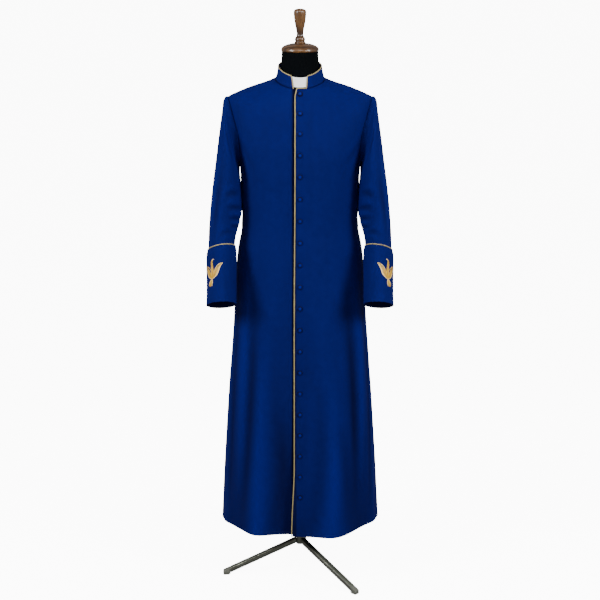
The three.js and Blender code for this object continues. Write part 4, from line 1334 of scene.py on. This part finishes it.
def satin_lobe(middle, half_widths, padding, pitch, places):
    """One padded satin lobe: threads lie across it, slanting back from its middle line."""
    middle = np.array(middle, float)
    path = even_path(np.column_stack([middle, np.zeros(len(middle))]), pitch / 2.4)[:, :2]
    share = np.linspace(0, len(half_widths) - 1, len(path))
    width = np.maximum(table_rows(np.array(half_widths, float)[:, None], share)[:, 0], 0.2)
    ahead = unit(np.gradient(path, axis=0))
    side = np.stack([-ahead[:, 1], ahead[:, 0]], 1)
    u = np.linspace(-1, 1, STITCHES_ACROSS)
    flat = path[:, None] + side[:, None] * (width[:, None] * u)[..., None]
    flat = flat - ahead[:, None] * (0.35 * width[:, None] * np.abs(u) ** 1.5)[..., None]
    distance = np.arange(len(path)) * pitch / 2.4
    thread = np.sin(np.pi * distance / pitch) ** 2
    crown = np.sqrt(np.clip(1 - u * u, 0, 1))
    height = padding * crown * np.minimum(width / 1.5, 1)[:, None]
    height = height + 0.16 * thread[:, None] * (0.35 + 0.65 * crown) - 0.06
    under = path + 0 * side
    top_s, top_b = flat[..., 0], flat[..., 1]
    rings_s = np.concatenate([top_s, under[:, :1]], 1)
    rings_b = np.concatenate([top_b, under[:, 1:]], 1)
    lift = np.concatenate([height, np.full((len(path), 1), -0.35)], 1)
    phase, row = places(rings_s, rings_b)
    points, _ = cuff_points(row, phase, lift)
    return skin_rings(points)


def right_way_out(shape):
    """Turns a closed shape's faces outwards, by the sign of its volume."""
    vertices, faces, flat = shape
    volume = 0.0
    for face in faces:
        a = vertices[face[0]]
        for b, c in zip(face[1:-1], face[2:]):
            volume += a.dot(np.cross(vertices[b], vertices[c]))
    if volume < 0:
        vertices, faces, flat = mirrored((vertices, faces, flat))
        vertices = vertices * [-1, 1, 1]
    return vertices, faces, flat


class CASSOCK_OT_embroidery(bpy.types.Operator):
    """Stitches a rising dove on the outer front of each cuff"""

    bl_idname = "cassock.embroidery"
    bl_label = "Cuff Embroidery"
    bl_options = {"REGISTER", "UNDO"}

    def execute(self, context):
        looks = context.scene.cassock
        places = cuff_places()
        shapes, shades = [], []
        for middle, half_widths, shade, padding in DOVE:
            lobe = satin_lobe(middle, half_widths, padding, looks.stitch_pitch / MM, places)
            shapes.append(right_way_out(lobe))
            shades.append(np.full(len(lobe[0]), shade))
        left = joined(shapes)
        gold = finish(thread_finish, "gold_thread", looks.thread_pale, looks.thread_light, looks.thread_dark)
        shades = np.concatenate(shades)
        for side, shape in (("left", left), ("right", mirrored(left))):
            dove = new_piece("dove_" + side, shape, gold)
            set_shades(dove, shades, shades)
        return {"FINISHED"}


# ------------------------------------------------------------------ the dress form


class CASSOCK_OT_form(bpy.types.Operator):
    """Makes the padded form in its knitted cover"""

    bl_idname = "cassock.form"
    bl_label = "Dress Form"
    bl_options = {"REGISTER", "UNDO"}

    def execute(self, context):
        columns = 120
        turn = 360 * np.arange(columns) / columns
        rings = []
        for row, side, fore in FORM_INSET:
            rows = np.full(columns, row)
            point = ring_points(BODY, rows, turn)
            along = ring_points(BODY, rows, turn + 1) - ring_points(BODY, rows, turn - 1)
            up = ring_points(BODY, rows + 0.02, turn) - ring_points(BODY, rows - 0.02, turn)
            inset = side + (fore - side) * np.cos(np.radians(turn)) ** 2
            rings.append(point - unit(np.cross(along, up)) * inset[:, None])
        rings[0][:, 2] = PLATE_TOP + TOUCH_GAP
        for row in range(len(FORM_NECK)):
            rings.append(ring_points(FORM_NECK, np.full(columns, float(row)), turn))
        rings = np.stack(rings)
        rows = np.linspace(0, len(rings) - 1, (len(rings) - 1) * 6 + 1)
        fine = table_rows(rings.reshape(len(rings), -1), rows).reshape(len(rows), columns, 3)
        fine[:, :, 2] = np.maximum(fine[:, :, 2], PLATE_TOP + TOUCH_GAP)
        centre = fine.mean(1, keepdims=True)
        for seam in (0, 90, 180, 270):
            off = (turn - seam + 180) % 360 - 180
            fine = fine - unit(fine - centre) * (0.7 * np.exp(-((off / 1.6) ** 2)))[None, :, None]
        jersey = finish(jersey_finish, "black_jersey", context.scene.cassock_stand.cover)
        cover = new_piece("form_cover", skin_rings(fine), jersey, ["form_body"], sharp=50)
        return {"FINISHED"}


class CASSOCK_OT_wood(bpy.types.Operator):
    """Turns the neck cap and the finial, and cuts the plate under the form"""

    bl_idname = "cassock.wood"
    bl_label = "Cap, Finial and Base"
    bl_options = {"REGISTER", "UNDO"}

    def execute(self, context):
        looks = context.scene.cassock_stand
        matrix = Matrix.Rotation(math.radians(CAP_TILT), 4, "X")
        matrix.translation = (0, 0, CAP_Z)
        r = CAP_RADIUS
        cap = rounded_profile([
            [0, 0], [r - 6, 0], [r - 2.6, 0.3], [r - 0.7, 1.6], [r, 3.8], [r - 0.2, 6.2], [r - 1, 8.6],
            [r - 1.9, 9.8], [r - 2.1, 10.8], [r - 4.6, 13.5], [r - 10.5, 17.2], [r - 19, 20.4],
            [r - 30, 22.9], [r - 39, 24.1], [r - 41, 24.4], [0, 24.6],
        ], 5)
        finial = rounded_profile([
            [0, 0], [15.8, 0], [16.8, 0.5], [17, 1.8], [16.2, 3.2], [15.2, 4.2], [15.1, 6], [15.9, 8.4],
            [16.1, 11], [15.7, 13.8], [14.4, 16.6], [12.4, 19], [11, 21], [10.4, 24], [10.2, 28], [10.7, 33],
            [12, 40], [13.8, 49], [15.8, 58], [17.4, 68], [18.6, 78], [19.4, 87], [19.6, 92],
            [19.4, 95.4], [18.2, 98.4], [15.6, 100.8], [11, 102.6], [5.5, 103.7], [0, 104],
        ], 4)
        varnished = finish(wood_finish, "stained_walnut", looks.wood_light, looks.wood_dark, 0.4)
        new_piece("wood_cap", turned(cap, matrix), varnished, ["neck_cap"], sharp=60)
        seat = matrix @ Matrix.Translation((0, 0, FINIAL_BASE))
        new_piece("wood_finial", turned(finial, seat), varnished, ["finial"], sharp=60)

        angle = 2 * np.pi * np.arange(96) / 96
        rings = []
        top, low = PLATE_TOP, PLATE_TOP - PLATE_THICK
        for inset, z in ((60, low), (2, low), (0.6, low + 0.6), (0, low + 2), (0, top - 2), (0.6, top - 0.6), (2, top), (60, top)):
            x, y = (PLATE_HALF - inset) * np.cos(angle), (PLATE_DEPTH - inset) * np.sin(angle)
            rings.append(np.stack([x, y, np.full(96, z)], -1))
        plain = finish(wood_finish, "base_hardwood", shaded(looks.wood_light, 1.2), looks.wood_dark, 0.15)
        new_piece("form_base", skin_rings(np.stack(rings)), plain, ["base_plate"], sharp=45)
        return {"FINISHED"}


def soft_section(wide, low, high, radius, count=5):
    """A rectangle with rounded corners: across, and up."""
    middle, tall = (low + high) / 2, high - low
    radius = min(radius, tall / 2.05, wide / 2.05)
    points = []
    for quarter in range(4):
        start = math.pi / 2 * quarter
        sx, sz = (1, 1, -1, -1)[quarter], (-1, 1, 1, -1)[quarter]
        for k in range(count):
            angle = start - math.pi / 2 + math.pi / 2 * k / (count - 1)
            x = sx * (wide / 2 - radius) + radius * math.cos(angle)
            z = middle + sz * (tall / 2 - radius) + radius * math.sin(angle)
            points.append((x, z))
    return points


def loft_along(stations, turn):
    """A bar lofted outwards from the pole over stations of reach, width, low and high, at a turn."""
    rings = []
    for reach, wide, low, high, radius in stations:
        rings.append([(reach, x, z) for x, z in soft_section(wide, low, high, radius)])
    rings = np.array(rings)
    c, s = math.cos(math.radians(turn)), math.sin(math.radians(turn))
    x, y = rings[..., 0], rings[..., 1]
    return skin_rings(np.stack([x * c - y * s, x * s + y * c, rings[..., 2]], -1))


class CASSOCK_OT_stand(bpy.types.Operator):
    """Makes the pole, the hub and the three legs with their feet"""

    bl_idname = "cassock.stand"
    bl_label = "Stand"
    bl_options = {"REGISTER", "UNDO"}

    def execute(self, context):
        looks = context.scene.cassock_stand
        steel = finish(steel_finish, "brushed_steel", looks.steel, (260, 260, 26))
        rubber = finish(foot_finish, "grey_foot", looks.foot)
        low, high = HUB_HIGH + TOUCH_GAP, PLATE_TOP - PLATE_THICK - TOUCH_GAP
        r = POLE_RADIUS
        pole = [[0, low], [r - 0.4, low], [r, low + 0.4], *[[r, z] for z in np.linspace(low + 1, high - 1, 30)],
                [r, high - 0.4], [r - 0.4, high], [0, high]]
        upright = Matrix.Identity(4)
        new_piece("steel_pole", turned(pole, upright, 64), steel, ["pole"], sharp=40)
        r = HUB_RADIUS
        bead = [[r - 1.6, 0], [r - 0.7, 0.3], [r - 0.2, 0.9], [r, 1.8]]
        hub = [[0, HUB_LOW], *[[x, HUB_LOW + z] for x, z in bead], [r, HUB_LOW + 8], [r, HUB_LOW + 20],
               [r, HUB_HIGH - 8], *[[x, HUB_HIGH - z] for x, z in bead[::-1]], [0, HUB_HIGH]]
        new_piece("steel_hub", turned(hub, upright, 64), steel, ["hub"], sharp=50)
        tall = LEG_TALL * math.hypot(1, LEG_SLOPE)
        root = HUB_RADIUS + TOUCH_GAP
        low_at = lambda reach: LEG_ROOT_Z - LEG_SLOPE * (reach - root)
        for side, turn in LEG_TURNS.items():
            stations = []
            for reach, inset in ((root, 0.8), (root + 0.5, 0.2), (root + 1.2, 0), (root + 60, 0), (root + 120, 0),
                                 (LEG_REACH - 1.2, 0), (LEG_REACH - 0.4, 0.2), (LEG_REACH, 0.8)):
                stations.append((reach, LEG_WIDE - 2 * inset, low_at(reach) + inset, low_at(reach) + tall - inset, 2.2))
            along = (60, 60, 60)
            grey = finish(steel_finish, "brushed_leg_" + side, looks.steel, along)
            new_piece("steel_leg_" + side, loft_along(stations, turn), grey, ["leg_" + side], sharp=40)
            start = LEG_REACH + TOUCH_GAP
            foot = []
            for share, inset, lift in ((0, 0.9, 4), (0.03, 0.2, 3.6), (0.08, 0, 2.6), (0.18, 0, 0.6), (0.3, 0, 0),
                                       (0.6, 0, 0), (0.82, 0, 0), (0.92, 0.5, 0.7), (0.975, 1.6, 2), (1, 3.6, 4)):
                reach = start + (FOOT_END - start) * share
                high = low_at(reach) + tall - inset * 1.2
                foot.append((reach, LEG_WIDE - 2 * inset, lift, high, 2.6))
            new_piece("foot_cap_" + side, loft_along(foot, turn), rubber, ["foot_" + side], sharp=50)
        return {"FINISHED"}


# ------------------------------------------------------------------ stage


def add_area_light(name, place, target, size, power, colour=(1, 1, 1)):
    data = bpy.data.lights.new(name, "AREA")
    data.shape, data.size, data.energy, data.color = "DISK", size, power, colour
    light = bpy.data.objects.new(name, data)
    light.location = place
    light.rotation_euler = (Vector(target) - Vector(place)).to_track_quat("-Z", "Y").to_euler()
    bpy.context.scene.collection.objects.link(light)


class CASSOCK_OT_stage(bpy.types.Operator):
    """Sets the pale floor, the soft lights and the camera"""

    bl_idname = "cassock.stage"
    bl_label = "Floor, Lights and Camera"
    bl_options = {"REGISTER", "UNDO"}

    def execute(self, context):
        studio = context.scene.cassock_studio
        reach = studio.reach
        floor_ring = [(reach * math.cos(a), reach * math.sin(a), 0) for a in np.linspace(0, 2 * np.pi, 96, endpoint=False)]
        walls = [[(x * math.cos(t), y * math.cos(t), reach * math.sin(t)) for x, y, _ in floor_ring]
                 for t in np.radians(np.linspace(0, 86, 20))]
        vertices = [point for ring in walls for point in ring]
        faces = [list(range(96)), list(range(len(vertices) - 1, len(vertices) - 97, -1))]
        for ring in range(len(walls) - 1):
            for k in range(96):
                a, b = ring * 96 + k, ring * 96 + (k + 1) % 96
                faces.append([a, a + 96, b + 96, b])
        mesh = bpy.data.meshes.new("studio_room")
        mesh.from_pydata(vertices, [], faces)
        mesh.materials.append(finish(floor_finish, "white_paper", studio.floor, studio.floor_glow))
        room = bpy.data.objects.new("studio_room", mesh)
        room.visible_diffuse = room.visible_glossy = room.visible_shadow = False
        context.scene.collection.objects.link(room)

        world = bpy.data.worlds.new("studio_room")
        world.use_nodes = True
        background = world.node_tree.nodes["Background"]
        background.inputs["Color"].default_value = (1, 1, 1, 1)
        background.inputs["Strength"].default_value = studio.world_strength
        context.scene.world = world

        chest = (0, CENTRE_Y, 1.3)
        add_area_light("left_softbox", (2.5, -1.9, 2.6), chest, 1.1, studio.key_power)
        add_area_light("right_softbox", (-2.5, -1.9, 2.6), chest, 1.1, studio.key_power)
        add_area_light("top_fill", (0, -2.6, 3.5), chest, 1.2, studio.fill_power)

        camera = bpy.data.objects.new("photo_camera", bpy.data.cameras.new("photo_camera"))
        camera.data.sensor_width = 36
        camera.data.lens = studio.lens
        camera.data.clip_end = 1000
        camera.location = (0, CENTRE_Y - 4.04, 1.9)
        target = Vector((0, CENTRE_Y, 0.945))
        camera.rotation_euler = (target - camera.location).to_track_quat("-Z", "Y").to_euler()
        context.scene.collection.objects.link(camera)
        context.scene.camera = camera
        return {"FINISHED"}


OPERATORS = (
    CASSOCK_OT_form,
    CASSOCK_OT_body,
    CASSOCK_OT_collar,
    CASSOCK_OT_front_cord,
    CASSOCK_OT_buttons,
    CASSOCK_OT_sleeves,
    CASSOCK_OT_cuffs,
    CASSOCK_OT_embroidery,
    CASSOCK_OT_wood,
    CASSOCK_OT_stand,
    CASSOCK_OT_stage,
)


class CASSOCK_PT_sidebar(bpy.types.Panel):
    """Lists the settings and the steps"""

    bl_label = "Cassock"
    bl_idname = "CASSOCK_PT_sidebar"
    bl_space_type = "VIEW_3D"
    bl_region_type = "UI"
    bl_category = "Cassock"

    def draw(self, context):
        scene = context.scene
        for title, group in (("Garment", scene.cassock), ("Form", scene.cassock_stand), ("Studio", scene.cassock_studio)):
            box = self.layout.box()
            box.label(text=title)
            for name in type(group).__annotations__:
                box.prop(group, name)
        for operator in OPERATORS:
            self.layout.operator(operator.bl_idname)


SETTINGS = {"cassock": CassockSettings, "cassock_stand": StandSettings, "cassock_studio": StudioSettings}


def register():
    for kind in (*SETTINGS.values(), *OPERATORS, CASSOCK_PT_sidebar):
        bpy.utils.register_class(kind)
    for name, kind in SETTINGS.items():
        setattr(bpy.types.Scene, name, PointerProperty(type=kind))


def unregister():
    for name in SETTINGS:
        delattr(bpy.types.Scene, name)
    for kind in reversed((*SETTINGS.values(), *OPERATORS, CASSOCK_PT_sidebar)):
        bpy.utils.unregister_class(kind)


def main():
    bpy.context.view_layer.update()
    register()
    bpy.ops.cassock.form()
    bpy.ops.cassock.body()
    bpy.ops.cassock.collar()
    bpy.ops.cassock.front_cord()
    bpy.ops.cassock.buttons()
    bpy.ops.cassock.sleeves()
    bpy.ops.cassock.cuffs()
    bpy.ops.cassock.embroidery()
    bpy.ops.cassock.wood()
    bpy.ops.cassock.stand()
    bpy.ops.cassock.stage()


if __name__ == "__main__":
    main()
